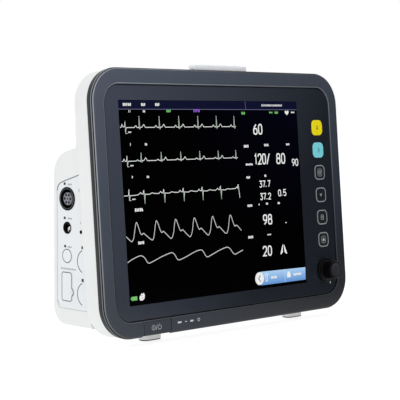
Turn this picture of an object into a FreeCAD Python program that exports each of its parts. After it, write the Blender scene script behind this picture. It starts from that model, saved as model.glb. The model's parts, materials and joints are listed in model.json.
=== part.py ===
# Bedside patient monitor with a 12.1 inch screen, as an assembly of separate pieces.
# Units are millimetres.  +Z is up, -Y is the front, the origin is the centre of the base on the table.
#
# The front half (frame, band, panel, screen, keys, knob, boards) is built upright in its own plane:
# X across, Y = depth behind the panel's face, Z = height above the frame's centre.  It is then leaned
# back by the tilt angle and lifted to the frame's centre with one Placement, "lean".
# The rear half (casing, connectors, battery bay, fan, handle) is built square to the table, measured
# from the same centre and moved by "lift".
import FreeCAD, Part
import Sketcher
import math
import os
from FreeCAD import Vector as V, Placement, Rotation

os.makedirs("parts", exist_ok=True)
doc = FreeCAD.newDocument("patient_monitor")
App = FreeCAD

# ------------------------------------------------------------------ driving dimensions
TABLE = [
    ("tilt_deg", 5.0, "lean of the front, back from upright"),
    ("centre_y", -55.10, "frame centre, behind the origin"),
    ("centre_z", 128.0, "frame centre, above the table"),
    ("frame_w", 342.0, "front frame width"),
    ("frame_tall", 243.6, "front frame height"),
    ("frame_rad", 32.0, "front frame corner radius"),
    ("frame_front", -1.3, "front face of the frame, before the panel face"),
    ("frame_rim", 1.0, "front rim of the frame, inside its outer wall"),
    ("groove_back", 0.9, "rear of the groove behind the rim"),
    ("frame_side", 2.4, "rear of the frame's outer wall"),
    ("tongue_inset", 3.5, "frame tongue inside the band"),
    ("tongue_back", 6.0, "rear of the frame tongue"),
    ("panel_w", 313.0, "panel width"),
    ("panel_tall", 213.0, "panel height"),
    ("panel_rad", 18.0, "panel corner radius"),
    ("panel_thick", 3.0, "panel thickness"),
    ("panel_gap", 0.3, "gap round the panel"),
    ("ledge_w", 304.0, "opening behind the panel"),
    ("ledge_tall", 207.0, "opening behind the panel"),
    ("ledge_rad", 8.0, "corner radius of that opening"),
    ("band_front", 3.2, "front of the dark band"),
    ("band_back", 7.0, "rear of the dark band"),
    ("screen_w", 246.0, "active screen width, 12.1 inch 4:3"),
    ("screen_tall", 184.5, "active screen height"),
    ("screen_x", -16.2, "screen centre across"),
    ("screen_face", 0.35, "screen face behind the panel face"),
    ("key_x", 137.2, "key column"),
    ("key_top", 65.6, "top key"),
    ("key_pitch", 23.2, "key spacing"),
    ("key_w", 16.8, "key width"),
    ("key_tall", 15.8, "key height"),
    ("key_rad", 5.0, "key corner radius"),
    ("key_gap", 0.3, "gap round a key"),
    ("key_proud", 0.6, "key stands proud of the panel"),
    ("knob_z", -81.7, "knob axis height"),
    ("knob_rad", 9.3, "knob barrel radius"),
    ("knob_flange", 12.8, "knob skirt radius"),
    ("knob_front", 15.0, "knob height over the panel"),
    ("shaft_rad", 3.0, "encoder shaft radius"),
    ("bush_rad", 3.5, "encoder bush radius"),
    ("power_x", -107.5, "power key centre"),
    ("power_w", 34.0, "power key width"),
    ("lens_w", 75.0, "alarm lens width"),
    ("lens_top", 127.2, "alarm lens top"),
    ("case_w", 339.0, "rear casing width at the tray"),
    ("case_tall", 240.6, "rear casing height at the tray"),
    ("case_rad", 30.5, "rear casing corner radius"),
    ("case_back", 27.0, "rear of the tray"),
    ("wall", 2.6, "casing wall"),
    ("pod_half", 162.8, "half width of the connector pod"),
    ("pod_back", 70.8, "rear of the connector pod"),
    ("pod_base", -113.0, "underside of the pod and hump"),
    ("hump_half", 92.0, "half width of the rear hump"),
    ("hump_back", 124.0, "rear of the hump"),
    ("hump_top", 104.0, "top of the hump"),
    ("col_one", 50.3, "first connector column"),
    ("col_two", 25.3, "second connector column"),
    ("ecg_z", 2.6, "ECG socket height"),
    ("ecg_rad", 10.7, "ECG socket flange radius"),
    ("nibp_z", -23.8, "NIBP socket height"),
    ("nibp_rad", 5.5, "NIBP socket flange radius"),
    ("blank_z", -49.4, "round blank height"),
    ("blank_rad", 6.5, "round blank radius"),
    ("handle_y", 57.0, "handle pivot"),
    ("handle_z", 111.6, "handle pivot height"),
    ("handle_x", 69.0, "middle of the handle arm"),
    ("handle_reach", 44.0, "pivot to grip"),
    ("foot_x", 100.9, "front feet"),
    ("foot_rad", 11.8, "half the length of a foot"),
    ("fan_x", 50.0, "fan centre"),
    ("fan_z", 26.0, "fan centre height"),
    ("panel_back_w", 168.0, "rear panel width"),
    ("panel_back_tall", 90.0, "rear panel height"),
    ("panel_back_z", 17.0, "rear panel centre"),
    ("door_w", 108.0, "battery door width"),
    ("door_tall", 62.0, "battery door height"),
    ("door_z", -66.0, "battery door centre"),
    ("mount_dx", 100.0, "base inserts apart across"),
    ("mount_dy", 60.0, "base inserts apart front to back"),
    ("mount_y", 62.0, "base inserts centre"),
    ("mount_rad", 2.1, "base insert bore radius"),
]
sheet = doc.addObject("Spreadsheet::Sheet", "dims")
for i, (name, value, note) in enumerate(TABLE, 1):
    sheet.set("A%d" % i, name)
    sheet.set("B%d" % i, str(value))
    sheet.setAlias("B%d" % i, name)
    sheet.set("C%d" % i, note)
doc.recompute()


class Q:
    """A size with its value and the spreadsheet expression that drives it."""

    def __init__(self, v, e=None):
        self.v = float(v)
        self.e = e if e is not None else "(%r)" % float(v)

    def __add__(self, o):
        o = q(o)
        return Q(self.v + o.v, "(%s + %s)" % (self.e, o.e))

    def __radd__(self, o):
        return q(o) + self

    def __sub__(self, o):
        o = q(o)
        return Q(self.v - o.v, "(%s - %s)" % (self.e, o.e))

    def __rsub__(self, o):
        return q(o) - self

    def __mul__(self, o):
        o = q(o)
        return Q(self.v * o.v, "(%s * %s)" % (self.e, o.e))

    __rmul__ = __mul__

    def __truediv__(self, o):
        o = q(o)
        return Q(self.v / o.v, "(%s / %s)" % (self.e, o.e))

    def __neg__(self):
        return Q(-self.v, "(0 - %s)" % self.e)


def q(x):
    return x if isinstance(x, Q) else Q(x)


class Dims:
    def __getattr__(self, name):
        return Q(getattr(sheet, name), "dims.%s" % name)


D = Dims()


def val(x):
    return x.v if isinstance(x, Q) else float(x)


def bind(obj, prop, size):
    size = q(size)
    if "dims." in size.e:
        obj.setExpression(prop, size.e)


# ------------------------------------------------------------------ placements
TILT = D.tilt_deg.v
lean = Placement(V(0, D.centre_y.v, D.centre_z.v), Rotation(V(1, 0, 0), -TILT))
lift = Placement(V(0, D.centre_y.v, D.centre_z.v), Rotation())
C5, S5 = math.cos(math.radians(TILT)), math.sin(math.radians(TILT))


def rel(n, v):
    """(Y, Z) from the frame centre, square to the table, of depth n and height v in the leaning plane."""
    return n * C5 + v * S5, v * C5 - n * S5


# ------------------------------------------------------------------ PartDesign helpers
NODES = []


def body(label, place):
    b = doc.addObject("PartDesign::Body", label)
    b.Label = label
    b.Placement = place
    NODES.append(b)
    return b


def new_sketch(b, role, offset):
    s = b.newObject("Sketcher::SketchObject", b.Label + "_sketch")
    plane = [f for f in b.Origin.OriginFeatures if f.Role == role][0]
    s.AttachmentSupport = (plane, [""])
    s.MapMode = "FlatFace"
    off = -q(offset) if role == "XZ_Plane" else q(offset)
    s.AttachmentOffset = Placement(V(0, 0, off.v), Rotation())
    bind(s, ".AttachmentOffset.Base.z", off)
    return s


def con(s, *a, size=None):
    i = s.addConstraint(Sketcher.Constraint(*a))
    if size is not None:
        bind(s, "Constraints[%d]" % i, size)
    return i


def rrect(s, w, t, r, cx=0, cy=0):
    """A rounded rectangle, w wide and t tall about (cx, cy)."""
    w, t, r, cx, cy = q(w), q(t), q(r), q(cx), q(cy)
    x0, x1, y0, y1, R = cx.v - w.v / 2, cx.v + w.v / 2, cy.v - t.v / 2, cy.v + t.v / 2, r.v
    g = s.GeometryCount
    L, A = Part.LineSegment, Part.ArcOfCircle
    if R <= 0:
        s.addGeometry([L(V(x0, y0, 0), V(x1, y0, 0)), L(V(x1, y0, 0), V(x1, y1, 0)),
                       L(V(x1, y1, 0), V(x0, y1, 0)), L(V(x0, y1, 0), V(x0, y0, 0))])
        for k in range(4):
            con(s, "Coincident", g + k, 2, g + (k + 1) % 4, 1)
        con(s, "Horizontal", g), con(s, "Vertical", g + 1), con(s, "Horizontal", g + 2), con(s, "Vertical", g + 3)
        con(s, "DistanceX", g, 1, g, 2, w.v, size=w)
        con(s, "DistanceY", g + 1, 1, g + 1, 2, t.v, size=t)
        con(s, "DistanceX", -1, 1, g, 1, x0, size=cx - w / 2)
        con(s, "DistanceY", -1, 1, g, 1, y0, size=cy - t / 2)
        return
    P = math.pi

    def arc(x, y, a, c):
        return A(Part.Circle(V(x, y, 0), V(0, 0, 1), R), a, c)

    s.addGeometry([
        L(V(x0 + R, y0, 0), V(x1 - R, y0, 0)), arc(x1 - R, y0 + R, 1.5 * P, 2 * P),
        L(V(x1, y0 + R, 0), V(x1, y1 - R, 0)), arc(x1 - R, y1 - R, 0, P / 2),
        L(V(x1 - R, y1, 0), V(x0 + R, y1, 0)), arc(x0 + R, y1 - R, P / 2, P),
        L(V(x0, y1 - R, 0), V(x0, y0 + R, 0)), arc(x0 + R, y0 + R, P, 1.5 * P)])
    for k in range(8):
        con(s, "Tangent", g + k, 2, g + (k + 1) % 8, 1)
    con(s, "Horizontal", g), con(s, "Vertical", g + 2), con(s, "Horizontal", g + 4), con(s, "Vertical", g + 6)
    for k in (3, 5, 7):
        con(s, "Equal", g + 1, g + k)
    con(s, "Radius", g + 1, R, size=r)
    con(s, "DistanceX", g + 6, 1, g + 2, 1, w.v, size=w)
    con(s, "DistanceY", g, 1, g + 4, 1, t.v, size=t)
    con(s, "DistanceX", -1, 1, g + 6, 2, x0, size=cx - w / 2)
    con(s, "DistanceY", -1, 1, g, 1, y0, size=cy - t / 2)


def circle(s, r, cx=0, cy=0):
    r, cx, cy = q(r), q(cx), q(cy)
    g = s.addGeometry(Part.Circle(V(cx.v, cy.v, 0), V(0, 0, 1), r.v))
    con(s, "Radius", g, r.v, size=r)
    if cx.v == 0 and cy.v == 0 and "dims" not in cx.e + cy.e:
        con(s, "Coincident", g, 3, -1, 1)
        return
    con(s, "DistanceX", -1, 1, g, 3, cx.v, size=cx)
    con(s, "DistanceY", -1, 1, g, 3, cy.v, size=cy)


def poly(s, pts):
    g = s.GeometryCount
    for k, a in enumerate(pts):
        c = pts[(k + 1) % len(pts)]
        s.addGeometry(Part.LineSegment(V(a[0], a[1], 0), V(c[0], c[1], 0)))
    for k in range(len(pts)):
        con(s, "Coincident", g + k, 2, g + (k + 1) % len(pts), 1)
    for k in range(len(pts)):
        con(s, "Block", g + k)


SHAPES = {"rrect": rrect, "circle": circle, "poly": lambda s, *p: poly(s, p[0])}


def feature(b, kind, role, a, c, shapes):
    """Pads or pockets the shapes between coordinates a and c on the axis normal to the plane."""
    s = new_sketch(b, role, a)
    for sh in shapes:
        SHAPES[sh[0]](s, *sh[1:])
    f = b.newObject("PartDesign::" + kind, b.Label + "_" + kind.lower())
    f.Profile = s
    size = q(c) - q(a)
    f.Length = size.v
    bind(f, "Length", size)
    f.Reversed = (kind == "Pad") == (role == "XZ_Plane")
    s.Visibility = False
    doc.recompute()
    return f


def pad(b, role, a, c, *shapes):
    return feature(b, "Pad", role, a, c, shapes)


def cut(b, role, a, c, *shapes):
    before = b.Shape.Volume
    f = feature(b, "Pocket", role, a, c, shapes)
    if not b.Shape.Volume < before - 1e-6:
        raise RuntimeError("pocket in %s removed nothing" % b.Label)
    return f


def dress(b, kind, size, test):
    """Fillets or chamfers the edges of the body that pass the test."""
    tip = b.Tip
    names = ["Edge%d" % (i + 1) for i, e in enumerate(tip.Shape.Edges) if test(e)]
    if not names:
        raise RuntimeError("no edge to dress in " + b.Label)
    f = b.newObject("PartDesign::" + kind, b.Label + "_" + kind.lower())
    f.Base = (tip, names)
    prop = "Radius" if kind == "Fillet" else "Size"
    setattr(f, prop, val(size))
    bind(f, prop, size)
    doc.recompute()
    return f


def on_plane(axis, at, tol=1e-4, more=None):
    """Test: the whole edge lies on the plane where that axis is at."""
    def test(e):
        bb = e.BoundBox
        lo, hi = {"x": (bb.XMin, bb.XMax), "y": (bb.YMin, bb.YMax), "z": (bb.ZMin, bb.ZMax)}[axis]
        return abs(lo - val(at)) < tol and abs(hi - val(at)) < tol and (more is None or more(e))
    return test


def part_box(name, x, y, z, dx, dy, dz):
    o = doc.addObject("Part::Box", name)
    for prop, size in (("Length", dx), ("Width", dy), ("Height", dz)):
        setattr(o, prop, val(size))
        bind(o, prop, size)
    o.Placement = Placement(V(val(x), val(y), val(z)), Rotation())
    for axis, size in (("x", x), ("y", y), ("z", z)):
        bind(o, ".Placement.Base." + axis, size)
    return o


def part_cyl(name, r, length, base, axis):
    o = doc.addObject("Part::Cylinder", name)
    o.Radius, o.Height = val(r), val(length)
    bind(o, "Radius", r)
    bind(o, "Height", length)
    o.Placement = Placement(V(*[val(c) for c in base]), Rotation(V(0, 0, 1), V(*axis)))
    return o


def solid_feature(label, shape, place):
    """A piece whose shape is made with Part's own functions, from the sheet's sizes."""
    o = doc.addObject("Part::Feature", label)
    o.Label = label
    o.Shape = shape
    o.Placement = place
    NODES.append(o)
    return o


# ------------------------------------------------------------------ Part helpers
def rwire(pts, plane, at):
    """A closed wire through (a, b, r) corners, each rounded by its radius, on plane 'YZ', 'XZ' or 'XY' at the third coordinate."""
    put = {"YZ": lambda a, b: V(at, a, b), "XZ": lambda a, b: V(a, at, b), "XY": lambda a, b: V(a, b, at)}[plane]
    n = len(pts)
    spans = []
    for i in range(n):
        p, c, m = [V(pts[j % n][0], pts[j % n][1], 0) for j in (i - 1, i, i + 1)]
        r = pts[i][2] if len(pts[i]) > 2 else 0
        u, w = (p - c).normalize(), (m - c).normalize()
        if r <= 0:
            spans.append((c, None, c))
            continue
        ang = u.getAngle(w)
        t = r / math.tan(ang / 2)
        mid = (u + w).normalize()
        centre = c + mid * (r / math.sin(ang / 2))
        spans.append((c + u * t, centre - mid * r, c + w * t))
    edges = []
    for i in range(n):
        a, m, c = spans[i]
        nxt = spans[(i + 1) % n][0]
        if m is not None:
            edges.append(Part.Arc(put(a.x, a.y), put(m.x, m.y), put(c.x, c.y)).toShape())
        if (nxt - c).Length > 1e-7:
            edges.append(Part.LineSegment(put(c.x, c.y), put(nxt.x, nxt.y)).toShape())
    return Part.Wire(edges)


def prism(pts, plane, a, c):
    d = {"YZ": V(1, 0, 0), "XZ": V(0, 1, 0), "XY": V(0, 0, 1)}[plane]
    return Part.Face(rwire(pts, plane, a)).extrude(d * (c - a))


def rr_pts(w, t, r, cx=0, cy=0):
    return [(cx - w / 2, cy - t / 2, r), (cx + w / 2, cy - t / 2, r), (cx + w / 2, cy + t / 2, r), (cx - w / 2, cy + t / 2, r)]


def box(x0, x1, y0, y1, z0, z1):
    return Part.makeBox(x1 - x0, y1 - y0, z1 - z0, V(x0, y0, z0))


def cyl(r, a, c):
    d = V(*c) - V(*a)
    return Part.makeCylinder(r, d.Length, V(*a), d)


def fuse(*s):
    out = s[0]
    for x in s[1:]:
        out = out.fuse(x)
    return out.removeSplitter()


def group(*s):
    return Part.makeCompound(list(s))


def tilted(shape):
    """A shape made in the leaning plane, turned to the square one about the frame centre."""
    out = shape.copy()
    out.rotate(V(0, 0, 0), V(1, 0, 0), -TILT)
    return out


XZ, XY, YZ = "XZ_Plane", "XY_Plane", "YZ_Plane"

# ================================================================== front half
f_in = D.tongue_inset * 2
b = body("front_frame", lean)
pad(b, XZ, D.frame_front, 0, ("rrect", D.frame_w - D.frame_rim * 2, D.frame_tall - D.frame_rim * 2, D.frame_rad - D.frame_rim))
dress(b, "Fillet", 0.7, on_plane("y", D.frame_front))
pad(b, XZ, 0, D.groove_back, ("rrect", D.frame_w - 5.2, D.frame_tall - 5.2, D.frame_rad - 2.6))
pad(b, XZ, D.groove_back, D.frame_side, ("rrect", D.frame_w, D.frame_tall, D.frame_rad))
pad(b, XZ, D.frame_side, D.tongue_back, ("rrect", D.frame_w - f_in, D.frame_tall - f_in, D.frame_rad - D.tongue_inset))
cut(b, XZ, D.frame_front - 1, D.panel_thick, ("rrect", D.panel_w + D.panel_gap * 2, D.panel_tall + D.panel_gap * 2, D.panel_rad + D.panel_gap))
cut(b, XZ, D.panel_thick, D.tongue_back, ("rrect", D.ledge_w, D.ledge_tall, D.ledge_rad))
pad(b, XZ, D.tongue_back, 12.2, ("circle", 4, -158, 75), ("circle", 4, 158, 75), ("circle", 4, -105, 111), ("circle", 4, 105, 111),
    ("circle", 4, -158, -75), ("circle", 4, 158, -75))
pad(b, XZ, D.tongue_back, 12.3, ("circle", 1.8, D.power_x - 9.5, -112), ("circle", 1.8, D.power_x + 9.5, -112))
cut(b, XZ, 7.0, 12.2, ("circle", 1.3, -158, 75), ("circle", 1.3, 158, 75), ("circle", 1.3, -105, 111), ("circle", 1.3, 105, 111),
    ("circle", 1.3, -158, -75), ("circle", 1.3, 158, -75))
cut(b, XZ, D.frame_front - 1, D.frame_side, ("rrect", D.power_w + 1.2, 17.1, 0, D.power_x, -116.45))
cut(b, XZ, D.frame_side, D.tongue_back, ("circle", 2.5, D.power_x, -113))
cut(b, XZ, D.frame_front - 1, D.tongue_back, ("rrect", 5.2, 1.6, 0.5, -79.6, -112.9), ("circle", 0.9, -46.5, -112.9))

b = body("frame_seal", lean)
pad(b, XZ, D.frame_side, D.band_front, ("rrect", D.frame_w - 3.4, D.frame_tall - 3.4, D.frame_rad - 1.7),
    ("rrect", D.frame_w - f_in + 0.2, D.frame_tall - f_in + 0.2, D.frame_rad - D.tongue_inset + 0.1))

b = body("side_band", lean)
pad(b, XZ, D.band_front, D.band_back, ("rrect", D.frame_w - 1, D.frame_tall - 1, D.frame_rad - 0.5),
    ("rrect", D.frame_w - f_in + 0.2, D.frame_tall - f_in + 0.2, D.frame_rad - D.tongue_inset + 0.1))
cut(b, XY, 117.0, 122.0, ("rrect", D.lens_w - 6.4, 3.2, 0.5, 0, 7.8))

b = body("front_panel", lean)
pad(b, XZ, 0, D.panel_thick, ("rrect", D.panel_w, D.panel_tall, D.panel_rad))
cut(b, XZ, -1, D.panel_thick, ("rrect", D.screen_w + 0.4, D.screen_tall + 0.4, 1.0, D.screen_x, 0),
    *[("rrect", D.key_w + D.key_gap * 2, D.key_tall + D.key_gap * 2, D.key_rad + D.key_gap, D.key_x, D.key_top - D.key_pitch * k) for k in range(6)],
    ("circle", 3.75, D.key_x, D.knob_z), ("circle", 1.1, 145, -95.6))
cut(b, XZ, 1.5, D.panel_thick, ("rrect", D.screen_w + 8.4, D.screen_tall + 8.4, 2.0, D.screen_x, 0))

b = body("screen_glass", lean)
pad(b, XZ, D.screen_face, 1.6, ("rrect", D.screen_w, D.screen_tall, 0.8, D.screen_x, 0))
pad(b, XZ, 1.6, D.panel_thick, ("rrect", D.screen_w + 8, D.screen_tall + 8, 1.8, D.screen_x, 0))

for k in range(6):
    z = D.key_top - D.key_pitch * k
    b = body("key_%d" % (k + 1), lean)
    pad(b, XZ, -D.key_proud, 3.3, ("rrect", D.key_w, D.key_tall, D.key_rad, D.key_x, z))
    dress(b, "Fillet", 0.5, on_plane("y", -D.key_proud))
    pad(b, XZ, 3.3, 4.3, ("rrect", D.key_w + 2.4, D.key_tall + 2.4, D.key_rad + 1.2, D.key_x, z))
    pad(b, XZ, 4.3, 6.2, ("circle", 2.5, D.key_x, z))

b = body("power_key", lean)
pad(b, XZ, D.frame_front, 1.2, ("rrect", D.power_w, 12.6, 0.4, D.power_x, -114.5))
dress(b, "Fillet", 0.7, on_plane("y", D.frame_front, more=lambda e: e.BoundBox.ZMax < -120.7))
pad(b, XZ, 1.2, 8.0, ("circle", 2.0, D.power_x, -113))

solid_feature("status_windows", group(
    prism(rr_pts(5.0, 1.4, 0.4, -79.6, -112.9), "XZ", D.frame_front.v + 0.1, 6.4),
    cyl(0.85, (-46.5, D.frame_front.v + 0.1, -112.9), (-46.5, 6.4, -112.9)),
    cyl(1.05, (145, 0.1, -95.6), (145, 3.0, -95.6))), lean)

# knob, with its encoder
kx, kz = D.key_x, D.knob_z
b = body("knob", lean)
pad(b, XZ, -3.3, -1.1, ("circle", D.knob_flange, kx, kz))
dress(b, "Fillet", 0.8, on_plane("y", -3.3))
pad(b, XZ, -D.knob_front, -3.3, ("circle", D.knob_rad, kx, kz))
dress(b, "Chamfer", 0.9, on_plane("y", -D.knob_front))
cut(b, XZ, -D.knob_front - 1, -13.6, ("circle", 7.3, kx, kz))
cut(b, XZ, -2.9, -1.0, ("circle", 4.6, kx, kz))
cut(b, XZ, -12.0, -1.0, ("circle", D.shaft_rad + 0.02, kx, kz))

b = body("knob_cap", lean)
pad(b, XZ, -14.8, -13.6, ("circle", 7.2, kx, kz))
# a shallow dish turned about the knob's axis
dish = doc.addObject("Part::Sphere", "knob_dish")
dish.Radius = 40
dish.Placement = Placement(V(kx.v, -14.8 - 40 + 0.6, kz.v), Rotation())
base_cap = NODES.pop()
base_cap.Placement = Placement()
cap = doc.addObject("Part::Cut", "knob_cap_dished")
cap.Base, cap.Tool = base_cap, dish
base_cap.Label = "knob_cap_blank"
cap.Label = "knob_cap"
doc.recompute()
cap.Placement = lean
NODES.append(cap)

b = body("encoder_shaft", lean)
pad(b, XZ, -11.8, 6.6, ("circle", D.shaft_rad, kx, kz))
pad(b, XZ, 6.6, 7.6, ("circle", 4.4, kx, kz))

b = body("encoder_plunger", lean)
pad(b, XZ, 7.9, 8.7, ("circle", 4.0, kx, kz))

b = body("encoder_body", lean)
pad(b, XZ, 3.4, 10.4, ("rrect", 13.5, 13.5, 0.6, kx, kz))
pad(b, XZ, -0.5, 3.4, ("circle", D.bush_rad, kx, kz))
cut(b, XZ, -0.6, 10.4, ("circle", D.shaft_rad + 0.05, kx, kz))
cut(b, XZ, 6.2, 9.6, ("circle", 4.9, kx, kz))
cap_back = box(kx.v - 6, kx.v + 6, 9.6, 10.4, kz.v - 6, kz.v + 6)
fill = doc.addObject("Part::Feature", "encoder_floor")
fill.Shape = cap_back
enc_blank = NODES.pop()
enc_blank.Placement = Placement()
enc_blank.Label = "encoder_body_blank"
enc = doc.addObject("Part::Fuse", "encoder_joined")
enc.Base, enc.Tool = enc_blank, fill
enc.Label = "encoder_body"
doc.recompute()
enc.Placement = lean
NODES.append(enc)

b = body("keypad_board", lean)
pad(b, XZ, 10.4, 12.0, ("rrect", 27, 178, 1.5, 137.7, -10.5))

solid_feature("keypad_switches", group(*[
    fuse(box(kx.v - 3, kx.v + 3, 8.6, 10.4, z - 3, z + 3), cyl(1.7, (kx.v, 7.75, z), (kx.v, 8.6, z)))
    for z in [D.key_top.v - D.key_pitch.v * k for k in range(6)]]), lean)
solid_feature("power_switch", fuse(
    box(D.power_x.v - 3, D.power_x.v + 3, 9.9, 12.3, -116, -110), cyl(1.4, (D.power_x.v, 9.2, -113), (D.power_x.v, 9.9, -113)),
    box(D.power_x.v - 12, D.power_x.v + 12, 12.3, 13.7, -117, -107)), lean)

# alarm light on the top edge
b = body("alarm_lens", lean)
pad(b, XZ, 2.6, 10.4, ("rrect", D.lens_w, D.lens_top - 121.3, 2.6, 0, (D.lens_top + 121.3) / 2))
dress(b, "Fillet", 0.9, on_plane("y", 2.6))
pad(b, XY, 116.4, 122.0, ("rrect", D.lens_w - 7, 2.6, 0.4, 0, 7.8))
solid_feature("alarm_light_board", fuse(prism(rr_pts(84, 5.6, 0.8, 0, 9.4), "XY", 112.2, 113.8),
                                        *[box(x - 1.6, x + 1.6, 7.2, 10.0, 113.8, 115.4) for x in (-30, -18, -6, 6, 18, 30)]), lean)

# display and plates
b = body("display_module", lean)
pad(b, XZ, 3.2, 10.6, ("rrect", 260.5, 204, 1.0, D.screen_x, 0))
b = body("chassis_plate", lean)
pad(b, XZ, 12.2, 13.7, ("rrect", 324, 204, 4, 0, 0))
pad(b, XZ, 12.2, 13.7, ("rrect", 226, 18, 2, 0, 107))
cut(b, XZ, 12.0, 14.0, ("rrect", 60, 14, 3, -60, -40), ("rrect", 60, 14, 3, 40, -40),
    ("circle", 1.7, -158, 75), ("circle", 1.7, 158, 75), ("circle", 1.7, -158, -75), ("circle", 1.7, 158, -75),
    ("circle", 1.7, -105, 111), ("circle", 1.7, 105, 111))
pad(b, XZ, 13.7, 17.0, ("circle", 2.5, -100, -34), ("circle", 2.5, 60, -34), ("circle", 2.5, -100, 74), ("circle", 2.5, 60, 74))
solid_feature("main_board", fuse(
    prism(rr_pts(170, 120, 2, -20, 20), "XZ", 17.0, 18.6), box(-60, -32, 18.6, 21.2, 20, 48), box(-20, 0, 18.6, 20.4, 24, 44), box(10, 24, 18.6, 20.2, 10, 22),
    box(-95, -75, 18.6, 22.4, -30, -22), box(30, 55, 18.6, 22.8, -32, -24)), lean)
solid_feature("display_ribbon", prism([(114.05, 9.0), (116.0, 9.0), (116.0, 11.6), (40.0, 11.6), (40.0, 11.1), (115.5, 11.1), (115.5, 9.5), (114.05, 9.5)], "XY", 6, 34), lean)

# white front casing
b = body("front_casing", lean)
pad(b, XZ, D.band_back, D.case_back, ("rrect", D.case_w, D.case_tall, D.case_rad))
dress(b, "Fillet", 4.5, on_plane("y", D.case_back))
cut(b, XZ, D.band_back - 1, D.case_back - D.wall, ("rrect", D.case_w - D.wall * 2, D.case_tall - D.wall * 2, D.case_rad - D.wall))
cut(b, XZ, D.case_back - D.wall - 1, D.case_back + 1, ("rrect", 296, 140, 10, 0, -32))
cut(b, XY, 117.0, 122.0, ("rrect", D.lens_w - 6.4, 3.2, 0.5, 0, 7.8))
pad(b, XZ, 13.7, D.case_back - D.wall, ("circle", 4, -158, 75), ("circle", 4, 158, 75), ("circle", 4, -105, 111), ("circle", 4, 105, 111),
    ("circle", 4, -158, -75), ("circle", 4, 158, -75))
cut(b, XZ, 13.0, D.case_back + 1, ("circle", 1.7, -158, 75), ("circle", 1.7, 158, 75), ("circle", 1.7, -105, 111), ("circle", 1.7, 105, 111),
    ("circle", 1.7, -158, -75), ("circle", 1.7, 158, -75))
screws = []
for x, z in ((-158, 75), (158, 75), (-105, 111), (105, 111)):
    head = cyl(3.0, (x, 27.0, z), (x, 28.9, z)).cut(box(x - 2.0, x + 2.0, 28.1, 29.5, z - 0.4, z + 0.4)).cut(box(x - 0.4, x + 0.4, 28.1, 29.5, z - 2.0, z + 2.0))
    screws.append(fuse(head, cyl(1.5, (x, 13.9, z), (x, 27.0, z)), cyl(1.28, (x, 8.0, z), (x, 13.9, z))))
solid_feature("case_screws", group(*screws), lean)

# ================================================================== rear casing
def plane_y(z, n):
    return (n + z * S5) / C5


P0, P1, PH = D.pod_base.v, D.pod_back.v, D.pod_half.v
HW, HB, HT, W = D.hump_half.v, D.hump_back.v, D.hump_top.v, D.wall.v
SL = -0.27


def top_z(y, drop=0.0):
    return 50.6 + SL * (y - 35.3) - drop


def pod(o, y0, rc=0.0):
    x = PH - o
    s = prism([(y0, P0 + o), (P1 - o, P0 + o, 17 - o), (P1 - o, top_z(P1 - o, o * 1.04), 22 - o), (y0, top_z(y0, o * 1.04))], "YZ", -x, x)
    if rc:
        es = [e for e in s.Edges if abs(abs(e.BoundBox.XMin) - x) < 1e-4 and abs(e.BoundBox.XMin - e.BoundBox.XMax) < 1e-4 and e.BoundBox.YMin > y0 - 1e-4
              and not (e.BoundBox.YMax - y0 < 1e-4)]
        s = s.makeFillet(rc, es)
    return s


def hump(o, y0, rc=0.0):
    x = HW - o
    s = prism([(y0, -122 + o), (HB - o, -122 + o, 8 - o), (HB - o, HT - o, 14 - o), (y0, HT - o)], "YZ", -x, x)
    if rc:
        es = [e for e in s.Edges if abs(abs(e.BoundBox.XMin) - x) < 1e-4 and abs(e.BoundBox.XMin - e.BoundBox.XMax) < 1e-4 and not (e.BoundBox.YMax - y0 < 1e-4)]
        s = s.makeFillet(rc, es)
    return s


keep = tilted(box(-400, 400, D.case_back.v, 400, -400, 400))
shell = pod(0, 2.0, 3.0).fuse(hump(0, 2.0, 5.0)).removeSplitter()
hollow = pod(W, -20.0).fuse(hump(W, -20.0))
shell = shell.cut(hollow).common(keep).removeSplitter()

# label recess and connector openings on the left side
XL = -PH
label_pts = [(plane_y(25.2, 29.5), 25.2, 3), (53.8, 18.6, 6), (64.4, 15.0, 8), (64.4, -93.0, 5), (60.4, -97.5, 4), (plane_y(-97.5, 29.5), -97.5, 3)]


def grown(pts, g):
    cy = sum(p[0] for p in pts) / len(pts)
    cz = sum(p[1] for p in pts) / len(pts)
    return [(p[0] + (g if p[0] > cy else -g), p[1] + (g if p[1] > cz else -g), p[2] + g * 0.5) for p in pts]


shell = shell.cut(prism(grown(label_pts, 0.3), "YZ", XL - 1, XL + 1.0))
c1, c2 = D.col_one.v, D.col_two.v
ez, nz, bz = D.ecg_z.v, D.nibp_z.v, D.blank_z.v
thru = [cyl(9.2, (XL - 2, c1, ez), (XL + 4, c1, ez)), cyl(4.6, (XL - 2, c1, nz), (XL + 4, c1, nz)),
        cyl(5.1, (XL - 2, c1, bz), (XL + 4, c1, bz)), cyl(1.7, (XL - 2, 31.4, -26.5), (XL + 4, 31.4, -26.5)),
        prism(rr_pts(12.0, 24.6, 1.5, 50.7, -77.5), "YZ", XL - 2, XL + 4)]
for t_ in thru:
    shell = shell.cut(t_)

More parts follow.
